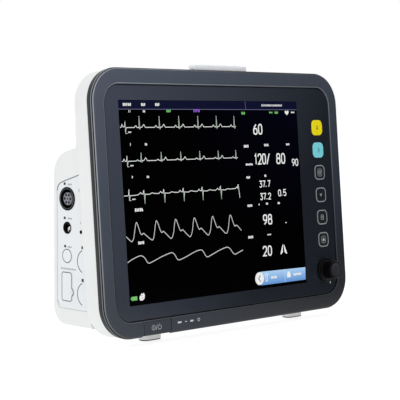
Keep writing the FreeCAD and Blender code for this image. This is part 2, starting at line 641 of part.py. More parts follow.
# openings on the back: battery door, fan slots, inlet, network socket, ground post, speaker slots
dz, dw, dt = D.door_z.v, D.door_w.v, D.door_tall.v
ax_x, ax_y = 51.0, HB - 2.2
shell = shell.cut(box(-dw / 2 - 0.4, ax_x + 3.0, HB - 8, HB + 2, dz - dt / 2 - 0.4, dz + dt / 2 + 0.4))
for zz in (dz + dt / 2 + 0.4, dz - dt / 2 - 0.4 - 5.0):
    shell = shell.fuse(box(ax_x - 4, ax_x + 3, HB - 6.5, HB - W + 0.01, zz, zz + 5.0))
shell = shell.cut(cyl(1.05, (ax_x, ax_y, dz - dt / 2 - 3.4), (ax_x, ax_y, dz + dt / 2 + 3.4)))
fx, fz = D.fan_x.v, D.fan_z.v
for r0 in (8, 14, 20, 26):
    ring = cyl(r0 + 3.0, (fx, HB - 4, fz), (fx, HB + 2, fz)).cut(cyl(r0, (fx, HB - 4, fz), (fx, HB + 2, fz)))
    ring = ring.cut(box(fx - 40, fx + 40, HB - 5, HB + 3, fz - 1.8, fz + 1.8)).cut(box(fx - 1.8, fx + 1.8, HB - 5, HB + 3, fz - 40, fz + 40))
    shell = shell.cut(ring)
ix, iz = -50.0, 30.0
shell = shell.cut(prism(rr_pts(27.4, 20.4, 2.5, ix, iz), "XZ", HB - 4, HB + 2))
shell = shell.cut(cyl(3.05, (-50, HB - 4, 0), (-50, HB + 2, 0)))
lx, lz = -10.0, 30.0
shell = shell.cut(prism(rr_pts(16.4, 13.8, 0.5, lx, lz), "XZ", HB - 4, HB + 2))
for k in range(7):
    zz = -84 + k * 6
    shell = shell.cut(prism(rr_pts(34, 2.4, 1.19, 128, zz), "XZ", P1 - 5, P1 + 2))
for sx in (-1, 1):
    for k in range(8):
        shell = shell.cut(prism(rr_pts(2.6, 40, 1.29, 78 + k * 5.4, 40), "YZ", sx * HW - 5, sx * HW + 5))
# handle brackets, each with its pin, let into the top by their spigots
hy, hz, hx = D.handle_y.v, D.handle_z.v, D.handle_x.v
brackets = []
for sx in (-1, 1):
    br = cyl(2.5, (sx * (hx - 8.6), hy, hz), (sx * (hx + 8.6), hy, hz))
    for xa, xb in ((hx - 8.6, hx - 4.6), (hx + 4.6, hx + 8.6)):
        xa, xb = sorted((sx * xa, sx * xb))
        br = br.fuse(prism([(hy - 9, HT), (hy + 9, HT), (hy + 5.8, hz), (hy - 5.8, hz)], "YZ", xa, xb)).fuse(cyl(6.0, (xa, hy, hz), (xb, hy, hz)))
        hole = box(xa + 0.6, xb - 0.6, hy - 5, hy + 5, HT - W - 1, HT + 0.5)
        br = br.fuse(box(xa + 0.6, xb - 0.6, hy - 5, hy + 5, HT - W, HT + 0.5))
        shell = shell.cut(hole)
    brackets.append(br.removeSplitter())
# bosses for the base inserts
mx, my, mr = D.mount_dx.v / 2, D.mount_dy.v / 2, D.mount_rad.v
my0 = D.mount_y.v
for sx in (-1, 1):
    for sy in (-1, 1):
        shell = shell.fuse(cyl(6.0, (sx * mx, my0 + sy * my, -120), (sx * mx, my0 + sy * my, -111)))
        shell = shell.cut(cyl(3.5, (sx * mx, my0 + sy * my, -123), (sx * mx, my0 + sy * my, -112.5)))
for y_ in (34, 54):
    shell = shell.fuse(box(-146, -143.6, y_, y_ + 6, P0 + W - 0.5, -96))
# the connector plate behind the label and the panel on the back are pieces of their own
side_hole = prism(rr_pts(36.6, 110.0, 1.5, 45.3, -40.0), "YZ", XL + 1.0, XL + W).common(keep)
side_plate = side_hole
for t_ in thru:
    side_plate = side_plate.cut(t_)
shell = shell.cut(prism(rr_pts(36.6, 110.0, 1.5, 45.3, -40.0), "YZ", XL - 1, XL + W + 1))
back_hole = prism(rr_pts(D.panel_back_w.v, D.panel_back_tall.v, 3.0, 0, D.panel_back_z.v), "XZ", HB - W - 1, HB + 1)
back_plate = shell.common(prism(rr_pts(D.panel_back_w.v, D.panel_back_tall.v, 3.0, 0, D.panel_back_z.v), "XZ", HB - W, HB))
shell = shell.cut(back_hole)
shell = shell.removeSplitter()
print("shell solids", len(shell.Solids), "valid", shell.isValid(), "plates", len(side_plate.Solids), len(back_plate.Solids))
solid_feature("connector_plate", side_plate if len(side_plate.Solids) != 1 else side_plate.Solids[0], lift)
solid_feature("rear_panel", back_plate if len(back_plate.Solids) != 1 else back_plate.Solids[0], lift)
solid_feature("rear_casing", shell if len(shell.Solids) != 1 else shell.Solids[0], lift)

inserts = []
for sx in (-1, 1):
    for sy in (-1, 1):
        x, y = sx * mx, my0 + sy * my
        inserts.append(cyl(3.5, (x, y, -122), (x, y, -112.5)).cut(cyl(mr, (x, y, -123), (x, y, -112))))
solid_feature("base_inserts", group(*inserts), lift)

# ---- left side fittings
lab = prism(label_pts, "YZ", XL + 0.2, XL + 1.0)
for t_ in thru:
    lab = lab.cut(t_)
big = []
for zc in (-52.9, -82.6):
    disc = cyl(11.2, (XL - 0.1, c2, zc), (XL + 1.0, c2, zc)).common(prism(grown(label_pts, -0.01), "YZ", XL - 1, XL + 2))
    hole = cyl(11.4, (XL - 1, c2, zc), (XL + 2, c2, zc))
    lab = lab.cut(hole)
    big.append(disc)
solid_feature("side_label", lab.Solids[0] if len(lab.Solids) == 1 else lab, lift)
solid_feature("large_blanks", group(*[d.Solids[0] for d in big]), lift)
XF = XL + 0.2

ecg = fuse(cyl(D.ecg_rad.v, (XF - 0.5, c1, ez), (XF, c1, ez)), cyl(9.15, (XF, c1, ez), (XF + 17, c1, ez)))
ecg = ecg.cut(cyl(8.0, (XF - 2, c1, ez), (XF + 11, c1, ez)))
solid_feature("ecg_socket", ecg, lift)
ins = cyl(5.8, (XF + 0.2, c1, ez), (XF + 11, c1, ez))
for k in range(6):
    a = math.radians(60 * k)
    ins = ins.cut(cyl(1.3, (XF - 1, c1 + 3.8 * math.cos(a), ez + 3.8 * math.sin(a)), (XF + 8, c1 + 3.8 * math.cos(a), ez + 3.8 * math.sin(a))))
solid_feature("ecg_insert", ins.cut(cyl(0.9, (XF - 1, c1, ez), (XF + 8, c1, ez))), lift)
nib = fuse(cyl(D.nibp_rad.v, (XF - 0.5, c1, nz), (XF, c1, nz)), cyl(4.55, (XF, c1, nz), (XF + 14, c1, nz)))
nib = nib.cut(cyl(3.2, (XF - 2, c1, nz), (XF + 10, c1, nz))).cut(cyl(1.5, (XF + 9, c1, nz), (XF + 15, c1, nz)))
solid_feature("pressure_socket", nib, lift)
noz = fuse(cyl(1.7, (XF - 0.2, 31.4, -26.5), (XF + 12, 31.4, -26.5)), cyl(3.2, (XL + W, 31.4, -26.5), (XL + W + 2, 31.4, -26.5))).cut(cyl(1.1, (XF - 1, 31.4, -26.5), (XF + 13, 31.4, -26.5)))
solid_feature("gas_nozzle", noz, lift)
solid_feature("round_blank", fuse(cyl(D.blank_rad.v, (XF - 0.5, c1, bz), (XF, c1, bz)), cyl(5.1, (XF, c1, bz), (XL + W + 1, c1, bz))), lift)
rb = fuse(prism(rr_pts(14.4, 27.0, 2.5, 50.7, -77.5), "YZ", XF - 0.5, XF), prism(rr_pts(12.0, 24.6, 1.5, 50.7, -77.5), "YZ", XF, XL + W + 1))
rb = rb.cut(cyl(2.4, (XF - 1, 43.0, -82), (XF - 0.001, 43.0, -82)))
solid_feature("slot_blank", rb, lift)

# ---- feet
feet = []
for sx in (-1, 1):
    x = sx * D.foot_x.v
    ff = prism(rr_pts(D.foot_rad.v * 2, 11.8, 5.85, x, 6.4), "XY", -128, -110).common(tilted(box(-400, 400, -60, 100, -300, -D.case_tall.v / 2)))
    feet.append(ff.makeFillet(1.2, [e for e in ff.Edges if e.BoundBox.ZMax < -127.99]))
    ff = prism(rr_pts(D.foot_rad.v * 2, 11.8, 5.85, sx * 74, 108), "XY", -128, -122)
    feet.append(ff.makeFillet(1.2, [e for e in ff.Edges if e.BoundBox.ZMax < -127.99]))
solid_feature("feet", group(*feet), lift)

# ---- handle
arm = [prism([(hy, hz - 6), (hy + D.handle_reach.v, hz - 6, 3), (hy + D.handle_reach.v, hz + 6, 3), (hy, hz + 6)], "YZ", min(sx * (hx - 4), sx * (hx + 4)), max(sx * (hx - 4), sx * (hx + 4)))
       .fuse(cyl(6, (sx * (hx - 4), hy, hz), (sx * (hx + 4), hy, hz))) for sx in (-1, 1)]
grip = prism([(hy + D.handle_reach.v - 9, hz - 5.5, 5), (hy + D.handle_reach.v + 9, hz - 5.5, 5), (hy + D.handle_reach.v + 9, hz + 5.5, 5), (hy + D.handle_reach.v - 9, hz + 5.5, 5)], "YZ", -hx - 4, hx + 4)
han = fuse(arm[0], arm[1], grip)
for sx in (-1, 1):
    han = han.cut(cyl(2.55, (sx * (hx - 6), hy, hz), (sx * (hx + 6), hy, hz)))
solid_feature("carry_handle", han, lift)
solid_feature("handle_brackets", group(*brackets), lift)

# ---- battery bay, pack and door
bay = box(-48, 48, HB - 30, HB - 4.2, dz - 29.5, dz + 29.5).cut(box(-46, 46, HB - 28, HB + 5, dz - 27.5, dz + 27.5))
bay = fuse(bay, box(-40, -36, HB - 30, HB - 10, -122 + W, dz - 29.5), box(36, 40, HB - 30, HB - 10, -122 + W, dz - 29.5))
solid_feature("battery_bay", bay, lift)
pack = box(-45, 45, HB - 27.8, HB - 5.8, dz - 27, dz + 27)
pack = pack.makeFillet(1.5, [e for e in pack.Edges if abs(e.BoundBox.YMin - e.BoundBox.YMax) > 1])
solid_feature("battery_pack", pack, lift)
door = fuse(box(-dw / 2, ax_x, ax_y, HB, dz - dt / 2, dz + dt / 2), cyl(2.2, (ax_x, ax_y, dz - dt / 2), (ax_x, ax_y, dz + dt / 2)),
            cyl(1.0, (ax_x, ax_y, dz - dt / 2 - 3.0), (ax_x, ax_y, dz + dt / 2 + 3.0)))
door = door.cut(prism(rr_pts(8, 24, 3, -dw / 2 + 7, dz), "XZ", HB - 1.2, HB + 2))
solid_feature("battery_door", door, lift)

# ---- fan
fan = prism(rr_pts(60, 60, 4, fx, fz), "XZ", HB - W - 15, HB - W)
fan = fan.cut(cyl(28.5, (fx, HB - W - 11.5, fz), (fx, HB - W + 1, fz))).cut(cyl(28.5, (fx, HB - W - 16, fz), (fx, HB - W - 13.5, fz)))
back = cyl(28.5, (fx, HB - W - 13.5, fz), (fx, HB - W - 11.5, fz)).cut(cyl(9.5, (fx, HB - W - 14, fz), (fx, HB - W - 11, fz)))
arms = group(box(fx - 30, fx + 30, HB - W - 14, HB - W - 11, fz - 2, fz + 2), box(fx - 2, fx + 2, HB - W - 14, HB - W - 11, fz - 30, fz + 30))
back = back.cut(arms)
fan = fan.cut(back)
fan = fuse(fan, cyl(1.5, (fx, HB - W - 12, fz), (fx, HB - W - 4.0, fz)))
solid_feature("fan_housing", fan, lift)
rot_ = cyl(12.5, (fx, HB - W - 11.0, fz), (fx, HB - W - 1.2, fz)).cut(cyl(1.55, (fx, HB - W - 12, fz), (fx, HB - W - 3.6, fz)))
for k in range(7):
    bl = box(11.5, 27.6, -0.7, 0.7, -3.6, 3.6)
    bl.rotate(V(0, 0, 0), V(1, 0, 0), 35)
    bl.rotate(V(0, 0, 0), V(0, 0, 1), 360.0 / 7 * k)
    bl.rotate(V(0, 0, 0), V(1, 0, 0), -90)
    bl.translate(V(fx, HB - W - 6.2, fz))
    rot_ = rot_.fuse(bl)
solid_feature("fan_rotor", rot_.common(cyl(27.6, (fx, HB - W - 10.9, fz), (fx, HB - W - 1.0, fz))).removeSplitter(), lift)

# ---- mains inlet, supply, sockets
inl = fuse(prism(rr_pts(27.0, 20.0, 2.3, ix, iz), "XZ", HB - 22, HB), prism(rr_pts(31.0, 24.0, 3.0, ix, iz), "XZ", HB, HB + 1.5))
inl = inl.cut(prism([(ix - 11.6, iz - 7.6), (ix + 11.6, iz - 7.6), (ix + 11.6, iz + 3.4), (ix + 7.4, iz + 7.6), (ix - 7.4, iz + 7.6), (ix - 11.6, iz + 3.4)], "XZ", HB - 16, HB + 3))
solid_feature("mains_inlet", inl, lift)
solid_feature("inlet_pins", group(*[box(ix + dx - 1, ix + dx + 1, 86.0, HB - 3, iz + dzz - 2, iz + dzz + 2) for dx, dzz in ((-7, -2.5), (0, 1.5), (7, -2.5))]), lift)
mi = inl.copy()
for dx, dzz in ((-7, -2.5), (0, 1.5), (7, -2.5)):
    mi = mi.cut(box(ix + dx - 1, ix + dx + 1, HB - 30, HB + 3, iz + dzz - 2, iz + dzz + 2))
[o for o in NODES if o.Label == "mains_inlet"][0].Shape = mi
[o for o in NODES if o.Label == "mains_inlet"][0].Placement = lift
solid_feature("ground_post", fuse(cyl(3.0, (-50, HB - 8, 0), (-50, HB + 9, 0)), cyl(5.0, (-50, HB, 0), (-50, HB + 2, 0)), cyl(5.5, (-50, HB - W - 3, 0), (-50, HB - W, 0))), lift)
lan = box(lx - 8, lx + 8, HB - 16, HB + 0.2, lz - 6.7, lz + 6.7).cut(box(lx - 5.9, lx + 5.9, HB - 13, HB + 2, lz - 4.4, lz + 3.6)).cut(box(lx - 3, lx + 3, HB - 13, HB + 2, lz + 3.5, lz + 5.6))
solid_feature("network_socket", lan, lift)
sup = [box(-80, -40, 63.6, 86, 10, 40), box(-44, -20, 63.6, 90, 50, 78), cyl(9, (-62, 63.6, 64), (-62, 84, 64)), box(-16, -2, 63.6, 80, -10, 20), cyl(6, (-26, 63.6, 30), (-26, 82, 30))]
solid_feature("supply_board", fuse(box(-86, 4, 62, 63.6, -20, 92), *sup), lift)
cov = box(-88, 6, 56, 95, -23, 96).cut(box(-86.4, 4.4, 57.2, 93.8, -21.4, 94.4))
cov = cov.cut(box(-62, -38, 90, 100, 18, 42)).fuse(box(-89.4, -88, 60, 90, 0, 60)).fuse(cyl(2.5, (-80, 57.2, 88), (-80, 62, 88))).fuse(cyl(2.5, (-2, 57.2, 88), (-2, 62, 88))).fuse(cyl(2.5, (-80, 57.2, -14), (-80, 62, -14))).fuse(cyl(2.5, (-2, 57.2, -14), (-2, 62, -14)))
solid_feature("supply_cover", cov.removeSplitter(), lift)


def tube(pts, r, bend=4.0, hollow_r=0):
    """A round wire or tube along straight runs with rounded bends."""
    P = [V(*p) for p in pts]
    edges, last = [], P[0]
    for i in range(1, len(P) - 1):
        u, w = (P[i - 1] - P[i]).normalize(), (P[i + 1] - P[i]).normalize()
        ang = u.getAngle(w)
        t = bend / math.tan(ang / 2)
        m = (u + w).normalize()
        c = P[i] + m * (bend / math.sin(ang / 2))
        a, z = P[i] + u * t, P[i] + w * t
        edges.append(Part.LineSegment(last, a).toShape())
        edges.append(Part.Arc(a, c - m * bend, z).toShape())
        last = z
    edges.append(Part.LineSegment(last, P[-1]).toShape())
    wire = Part.Wire(edges)
    prof = Part.Wire([Part.Circle(P[0], P[1] - P[0], r).toShape()])
    s = wire.makePipeShell([prof], True, False)
    if hollow_r:
        s = s.cut(wire.makePipeShell([Part.Wire([Part.Circle(P[0], P[1] - P[0], hollow_r).toShape()])], True, False))
    return s



# ---- loudspeaker in the right of the module
spk = fuse(cyl(22, (128, P1 - W - 3, -66), (128, P1 - W, -66)), Part.makeCone(12, 21, 9, V(128, P1 - W - 12, -66), V(0, 1, 0)), cyl(12, (128, P1 - W - 20, -66), (128, P1 - W - 12, -66)))
spk = spk.cut(Part.makeCone(6, 18.5, 8.5, V(128, P1 - W - 8.4, -66), V(0, 1, 0)))
solid_feature("loudspeaker", spk, lift)

# ---- blood pressure parts behind the connectors
solid_feature("parameter_board", box(-143.6, -142.0, 30, 62, -103, 26).cut(cyl(9.6, (-150, c1, ez), (-130, c1, ez))).cut(cyl(3.0, (-150, c1, nz), (-130, c1, nz)))
              .cut(cyl(3.0, (-150, 31.4, -26.5), (-130, 31.4, -26.5))), lift)
pump = fuse(cyl(13.5, (-130, 46, -88), (-98, 46, -88)), cyl(12.0, (-98, 46, -88), (-74, 46, -88)), cyl(2.2, (-116, 46, -76), (-116, 46, -69)),
            box(-128, -100, 38, 50, P0 + W, -99))
solid_feature("pressure_pump", pump, lift)
solid_feature("release_valve", fuse(box(-126, -106, 40, 54, -58, -44), cyl(2.2, (-116, 46, -44), (-116, 46, -39)), cyl(2.2, (-116, 46, -63), (-116, 46, -58)), box(-118, -114, 54, P1 - W, -56, -46)), lift)
solid_feature("air_tube", group(tube([(XF + 14.0, c1, nz), (-116, c1, nz), (-116, 46, -31), (-116, 46, -39)], 2.6, 5.0, 1.4),
                                cyl(2.6, (-116, 46, -69), (-116, 46, -63)).cut(cyl(1.4, (-116, 46, -70), (-116, 46, -62)))), lift)

# ------------------------------------------------------------------ checks and files
doc.recompute()
bad = []
for o in doc.Objects:
    if "Invalid" in o.State or "Error" in o.State:
        bad.append("%s state %s" % (o.Label, o.State))
names = set()
for o in NODES:
    sh = o.Shape
    if sh.isNull() or not sh.isValid() or not sh.Solids:
        bad.append("%s shape" % o.Label)
    if o.Label in names:
        bad.append("%s twice" % o.Label)
    names.add(o.Label)
if bad:
    raise RuntimeError("; ".join(bad))
for old in os.listdir("parts"):
    if old.endswith(".step"):
        os.remove(os.path.join("parts", old))
for o in NODES:
    o.Shape.exportStep(os.path.join("parts", o.Label + ".step"))
    bb = o.Shape.BoundBox
    print("%-20s %2d solids  x %7.1f %7.1f  y %7.1f %7.1f  z %7.1f %7.1f  vol %.2f cm3" % (
        o.Label, len(o.Shape.Solids), bb.XMin, bb.XMax, bb.YMin, bb.YMax, bb.ZMin, bb.ZMax, o.Shape.Volume / 1000))
print(len(NODES), "parts")
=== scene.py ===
# Bedside patient monitor: looks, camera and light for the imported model.
import bpy, bmesh, json, math
from mathutils import Vector, Matrix

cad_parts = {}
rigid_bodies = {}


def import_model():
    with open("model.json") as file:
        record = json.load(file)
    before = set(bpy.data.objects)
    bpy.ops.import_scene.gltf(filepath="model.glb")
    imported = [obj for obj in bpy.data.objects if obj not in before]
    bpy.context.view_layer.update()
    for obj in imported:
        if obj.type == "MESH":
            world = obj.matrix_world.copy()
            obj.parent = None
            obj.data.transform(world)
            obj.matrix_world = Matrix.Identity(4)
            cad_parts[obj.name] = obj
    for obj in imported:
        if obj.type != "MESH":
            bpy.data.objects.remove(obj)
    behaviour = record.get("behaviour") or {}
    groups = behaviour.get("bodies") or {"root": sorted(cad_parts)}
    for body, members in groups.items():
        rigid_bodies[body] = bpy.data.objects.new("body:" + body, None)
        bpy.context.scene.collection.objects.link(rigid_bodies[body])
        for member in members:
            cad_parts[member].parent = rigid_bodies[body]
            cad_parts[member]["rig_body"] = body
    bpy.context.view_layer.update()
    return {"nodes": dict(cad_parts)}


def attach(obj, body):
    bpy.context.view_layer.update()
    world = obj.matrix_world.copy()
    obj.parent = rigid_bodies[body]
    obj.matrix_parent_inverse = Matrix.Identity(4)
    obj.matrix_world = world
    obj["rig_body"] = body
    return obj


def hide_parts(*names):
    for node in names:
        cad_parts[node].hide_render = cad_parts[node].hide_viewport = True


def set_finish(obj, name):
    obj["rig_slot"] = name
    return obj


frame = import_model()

NODES = frame["nodes"]
# The front half is built in its own leaning plane: x across, n behind the panel face, v up from the frame's centre.
CY, CZ = -55.10, 128.0
TILT = math.radians(5.0)
LEAN = Matrix.Translation((0, CY, CZ)) @ Matrix.Rotation(-TILT, 4, "X")
LIFT = Matrix.Translation((0, CY, CZ))
MM = Matrix.Scale(0.001, 4)
SX = -16.2          # screen centre
KX, KZ = 137.2, -81.7
KEYS = [65.6 - 23.2 * k for k in range(6)]
PX = -107.5


# ------------------------------------------------------------------ camera
def camera():
    yaw, pitch, roll = (math.radians(a) for a in (45.7603, -0.3398, -3.3152))
    f = Vector((math.sin(yaw) * math.cos(pitch), math.cos(yaw) * math.cos(pitch), math.sin(pitch)))
    r = Vector((math.cos(yaw), -math.sin(yaw), 0))
    u = r.cross(f)
    r2 = math.cos(roll) * r + math.sin(roll) * u
    u2 = -math.sin(roll) * r + math.cos(roll) * u
    basis = Matrix((r2, u2, -f)).transposed().to_4x4()
    place = LEAN @ Matrix.Translation((-955.682 - 16.2, -905.562, 6.266)) @ basis
    data = bpy.data.cameras.new("camera")
    data.sensor_fit, data.sensor_width, data.lens = "HORIZONTAL", 36.0, 123.88
    data.clip_start, data.clip_end = 0.05, 60
    cam = bpy.data.objects.new("camera", data)
    bpy.context.scene.collection.objects.link(cam)
    loc, rot, _ = place.decompose()
    cam.matrix_world = Matrix.Translation(loc * 0.001) @ rot.to_matrix().to_4x4()
    bpy.context.scene.camera = cam
    return cam


CAM = camera()


# ------------------------------------------------------------------ materials
class Mat:
    """A node material with helpers. Constant values go on the shader's own sockets."""

    def __init__(self, name, base, rough=0.5, metal=0.0, **kw):
        self.m = bpy.data.materials.new(name)
        self.m.use_nodes = True
        self.t = self.m.node_tree
        self.b = self.t.nodes["Principled BSDF"]
        self.b.inputs["Base Color"].default_value = (*base, 1)
        self.b.inputs["Roughness"].default_value = rough
        self.b.inputs["Metallic"].default_value = metal
        for k, v in kw.items():
            self.b.inputs[k.replace("_", " ")].default_value = v
        self.base = base
        self._co = None

    def node(self, kind, **kw):
        n = self.t.nodes.new(kind)
        for k, v in kw.items():
            setattr(n, k, v)
        return n

    def link(self, a, b):
        self.t.links.new(a, b)

    def coords(self, scale=1000.0):
        """Object coordinates in millimetres."""
        if self._co is None:
            tc = self.node("ShaderNodeTexCoord")
            mp = self.node("ShaderNodeMapping")
            mp.inputs["Scale"].default_value = (scale,) * 3
            self.link(tc.outputs["Object"], mp.inputs["Vector"])
            self._co = mp.outputs["Vector"]
        return self._co

    def noise(self, size, detail=3.0, rough=0.5):
        n = self.node("ShaderNodeTexNoise")
        n.inputs["Scale"].default_value = 1.0 / size
        n.inputs["Detail"].default_value = detail
        n.inputs["Roughness"].default_value = rough
        self.link(self.coords(), n.inputs["Vector"])
        return n.outputs["Fac"]

    def voronoi(self, size, feature="F1"):
        n = self.node("ShaderNodeTexVoronoi", feature=feature)
        n.inputs["Scale"].default_value = 1.0 / size
        self.link(self.coords(), n.inputs["Vector"])
        return n.outputs["Distance"]

    def ramp(self, fac, lo, hi, out_lo, out_hi):
        n = self.node("ShaderNodeMapRange")
        n.inputs["From Min"].default_value, n.inputs["From Max"].default_value = lo, hi
        n.inputs["To Min"].default_value, n.inputs["To Max"].default_value = out_lo, out_hi
        self.link(fac, n.inputs["Value"])
        return n.outputs["Result"]

    def mix(self, fac, a, b):
        n = self.node("ShaderNodeMix", data_type="RGBA")
        self.link(fac, n.inputs[0])
        for s, v in ((n.inputs[6], a), (n.inputs[7], b)):
            if isinstance(v, tuple):
                s.default_value = (*v, 1)
            else:
                self.link(v, s)
        return n.outputs[2]

    def colour(self, out):
        self.link(out, self.b.inputs["Base Color"])

    def vary(self, amount=0.06, size=30.0):
        """A slow change of tone over the surface."""
        f = self.ramp(self.noise(size, 3), 0.3, 0.7, 0, 1)
        lo = tuple(max(0, c * (1 - amount)) for c in self.base)
        hi = tuple(min(1, c * (1 + amount)) for c in self.base)
        self.colour(self.mix(f, lo, hi))
        return self

    def slope(self, direction, start, end, lo, hi, amount=0.04, size=40.0):
        """Painted light and shade: a tone that changes along a direction of the object in place of the way light falls
        on it, with a little unevenness.
        """
        n = self.node("ShaderNodeVectorMath", operation="DOT_PRODUCT")
        self.link(self.coords(), n.inputs[0])
        n.inputs[1].default_value = direction
        f = self.ramp(n.outputs["Value"], start, end, 0, 1)
        a = self.mix(f, lo, hi)
        g = self.ramp(self.noise(size, 3), 0.3, 0.7, 0, 1)
        b = self.mix(f, tuple(c * (1 - amount) for c in lo), tuple(min(1, c * (1 - amount)) for c in hi))
        self.colour(self.mix(g, a, b))
        return self

    def roughness(self, lo, hi, size=12.0):
        self.link(self.ramp(self.noise(size, 4), 0.3, 0.7, lo, hi), self.b.inputs["Roughness"])
        return self

    def grain(self, size=0.5, strength=0.25, depth=0.03):
        """The fine spark texture of a moulded part."""
        n = self.node("ShaderNodeBump")
        n.inputs["Strength"].default_value = strength
        n.inputs["Distance"].default_value = depth * 0.001
        self.link(self.noise(size, 2, 0.6), n.inputs["Height"])
        self.link(n.outputs["Normal"], self.b.inputs["Normal"])
        return self


def lin(*rgb):
    """Linear colour from 0..255 display values."""
    return tuple(((c / 255 + 0.055) / 1.055) ** 2.4 if c / 255 > 0.04045 else c / 255 / 12.92 for c in rgb)


M = {}


def plastic(name, rgb, rough, size=0.5, strength=0.2, spec=0.5, var=0.05, coat=0.0, coat_rough=0.1):
    m = Mat(name, lin(*rgb), rough, Specular_IOR_Level=spec)
    m.vary(var, 40).roughness(rough * 0.9, min(1, rough * 1.1)).grain(size, strength)
    if coat:
        m.b.inputs["Coat Weight"].default_value = coat
        m.b.inputs["Coat Roughness"].default_value = coat_rough
    M[name] = m.m
    return m


plastic("band_plastic", (26, 28, 32), 0.36, 0.35, 0.12, 0.4, 0.04)
# Painted light and shade: the frame, the power key and the frame's inner lip are coloured lighter towards the upper
# left and darker towards the lower right, and the lip's lighter colour is a painted highlight along that edge.
PAINTED_LIGHT_FALL = (-0.45, 0.0, 1.0)
for n_, lo_, hi_, r_, sp_ in (("frame_plastic", (20, 23, 30), (72, 80, 94), 0.42, 0.4), ("frame_edge", (40, 44, 52), (138, 144, 152), 0.35, 0.5),
                              ("power_plastic", (20, 23, 29), (72, 80, 94), 0.5, 0.35)):
    mm_ = Mat(n_, lin(*lo_), r_, Specular_IOR_Level=sp_)
    mm_.slope(PAINTED_LIGHT_FALL, 20 if n_ == "frame_edge" else -40, 300, lin(*lo_), lin(*hi_)).roughness(r_ * 0.9, r_ * 1.1).grain(0.35, 0.10)
    M[n_] = mm_.m
# Painted highlight: the rounding at the frame's outer front edge is coloured light on the left and upper left and near
# black elsewhere.
mm_ = Mat("frame_rim", lin(80, 84, 90), 0.35, Specular_IOR_Level=0.35)
mm_.slope((-1.0, 0.0, 0.6), 115, 250, lin(9, 10, 12), lin(146, 152, 160)).roughness(0.3, 0.42).grain(0.35, 0.10)
M["frame_rim"] = mm_.m
# Painted light and shade: the glossy panel is coloured lighter towards the upper left and darker towards the lower
# right; its rim is painted darker still, as the shade of the groove beside the frame.
for n_, lo_, hi_, r_, sp_ in (("panel_gloss", (30, 34, 41), (66, 71, 84), 0.14, 0.4), ("panel_edge_painted_shade", (10, 11, 14), (26, 29, 34), 0.3, 0.3)):
    mm_ = Mat(n_, lin(*lo_), r_, Specular_IOR_Level=sp_)
    mm_.slope((-1.0, 0.0, 0.8), 0, 330, lin(*lo_), lin(*hi_), 0.03).roughness(r_ * 0.9, r_ * 1.1).grain(2.5, 0.015)
    M[n_] = mm_.m
# Painted highlight: the chamfer at the front of the dark band is coloured light on the left side only, near black
# elsewhere.
mm_ = Mat("band_edge_painted_highlight", lin(60, 62, 66), 0.35, Specular_IOR_Level=0.5)
mm_.slope((-1.0, 0.0, 0.12), 150, 185, lin(20, 21, 24), lin(128, 130, 134)).roughness(0.3, 0.42).grain(0.35, 0.10)
M["band_edge_painted_highlight"] = mm_.m
plastic("seal_rubber", (8, 8, 9), 0.8, 0.3, 0.2, 0.1)
plastic("key_yellow", (240, 222, 10), 0.42, 0.3, 0.12, 0.4)
plastic("key_blue", (122, 212, 224), 0.42, 0.3, 0.12, 0.4)
plastic("key_dark", (26, 29, 34), 0.36, 0.3, 0.12, 0.3)
plastic("key_ring", (142, 147, 152), 0.45, 0.3, 0.10, 0.4)
plastic("key_print", (176, 180, 184), 0.5, 0.3, 0.05, 0.3)
plastic("key_print_dark", (96, 92, 30), 0.5, 0.3, 0.05, 0.3)
plastic("key_print_blue", (48, 92, 100), 0.5, 0.3, 0.05, 0.3)
plastic("print_white", (206, 208, 210), 0.5, 0.3, 0.05, 0.3)
plastic("knob_black", (3, 3, 4), 0.32, 0.6, 0.03, 0.1)
plastic("cap_grey", (36, 38, 43), 0.4, 0.4, 0.1, 0.3)
plastic("casing_white", (227, 229, 229), 0.5, 0.45, 0.18, 0.45, 0.015)
plastic("casing_inner", (120, 122, 124), 0.7, 0.5, 0.2, 0.3)
plastic("label_white", (226, 229, 231), 0.38, 0.4, 0.06, 0.4, 0.012)
plastic("blank_white", (225, 229, 232), 0.45, 0.4, 0.12, 0.4, 0.015)
plastic("groove_grey", (92, 96, 102), 0.8, 0.4, 0.1, 0.2)
plastic("mark_grey", (136, 141, 148), 0.6, 0.4, 0.05, 0.3)
plastic("rim_soft", (206, 209, 210), 0.6, 0.4, 0.05, 0.3)
plastic("mark_soft", (190, 193, 192), 0.6, 0.4, 0.05, 0.3)
plastic("mark_dark", (46, 50, 56), 0.6, 0.4, 0.05, 0.3)
plastic("socket_black", (3, 3, 4), 0.5, 0.4, 0.1, 0.05)
plastic("socket_grey", (122, 124, 132), 0.5, 0.4, 0.12, 0.4)
plastic("socket_dim", (104, 106, 110), 0.4, 0.4, 0.08, 0.4)
# The light colour of the painted glint in the air socket.
plastic("socket_ring", (206, 208, 208), 0.35, 0.4, 0.08, 0.5)
plastic("foot_pad", (56, 57, 60), 0.85, 0.5, 0.4, 0.2)
plastic("foot_grey", (214, 215, 214), 0.75, 0.5, 0.4, 0.3)
plastic("board_green", (24, 86, 44), 0.35, 1.5, 0.1, 0.5, 0.1)
plastic("chip_black", (18, 18, 20), 0.5, 0.6, 0.2, 0.4)
plastic("ribbon_amber", (176, 112, 30), 0.3, 0.8, 0.05, 0.5)
plastic("battery_black", (26, 27, 30), 0.5, 0.5, 0.25, 0.4)
plastic("bay_grey", (120, 122, 126), 0.6, 0.5, 0.25, 0.4)
plastic("fan_black", (16, 16, 18), 0.5, 0.5, 0.2, 0.4)
plastic("speaker_paper", (40, 40, 42), 0.9, 0.8, 0.5, 0.2)
plastic("tube_clear", (190, 190, 182), 0.3, 0.8, 0.05, 0.5)
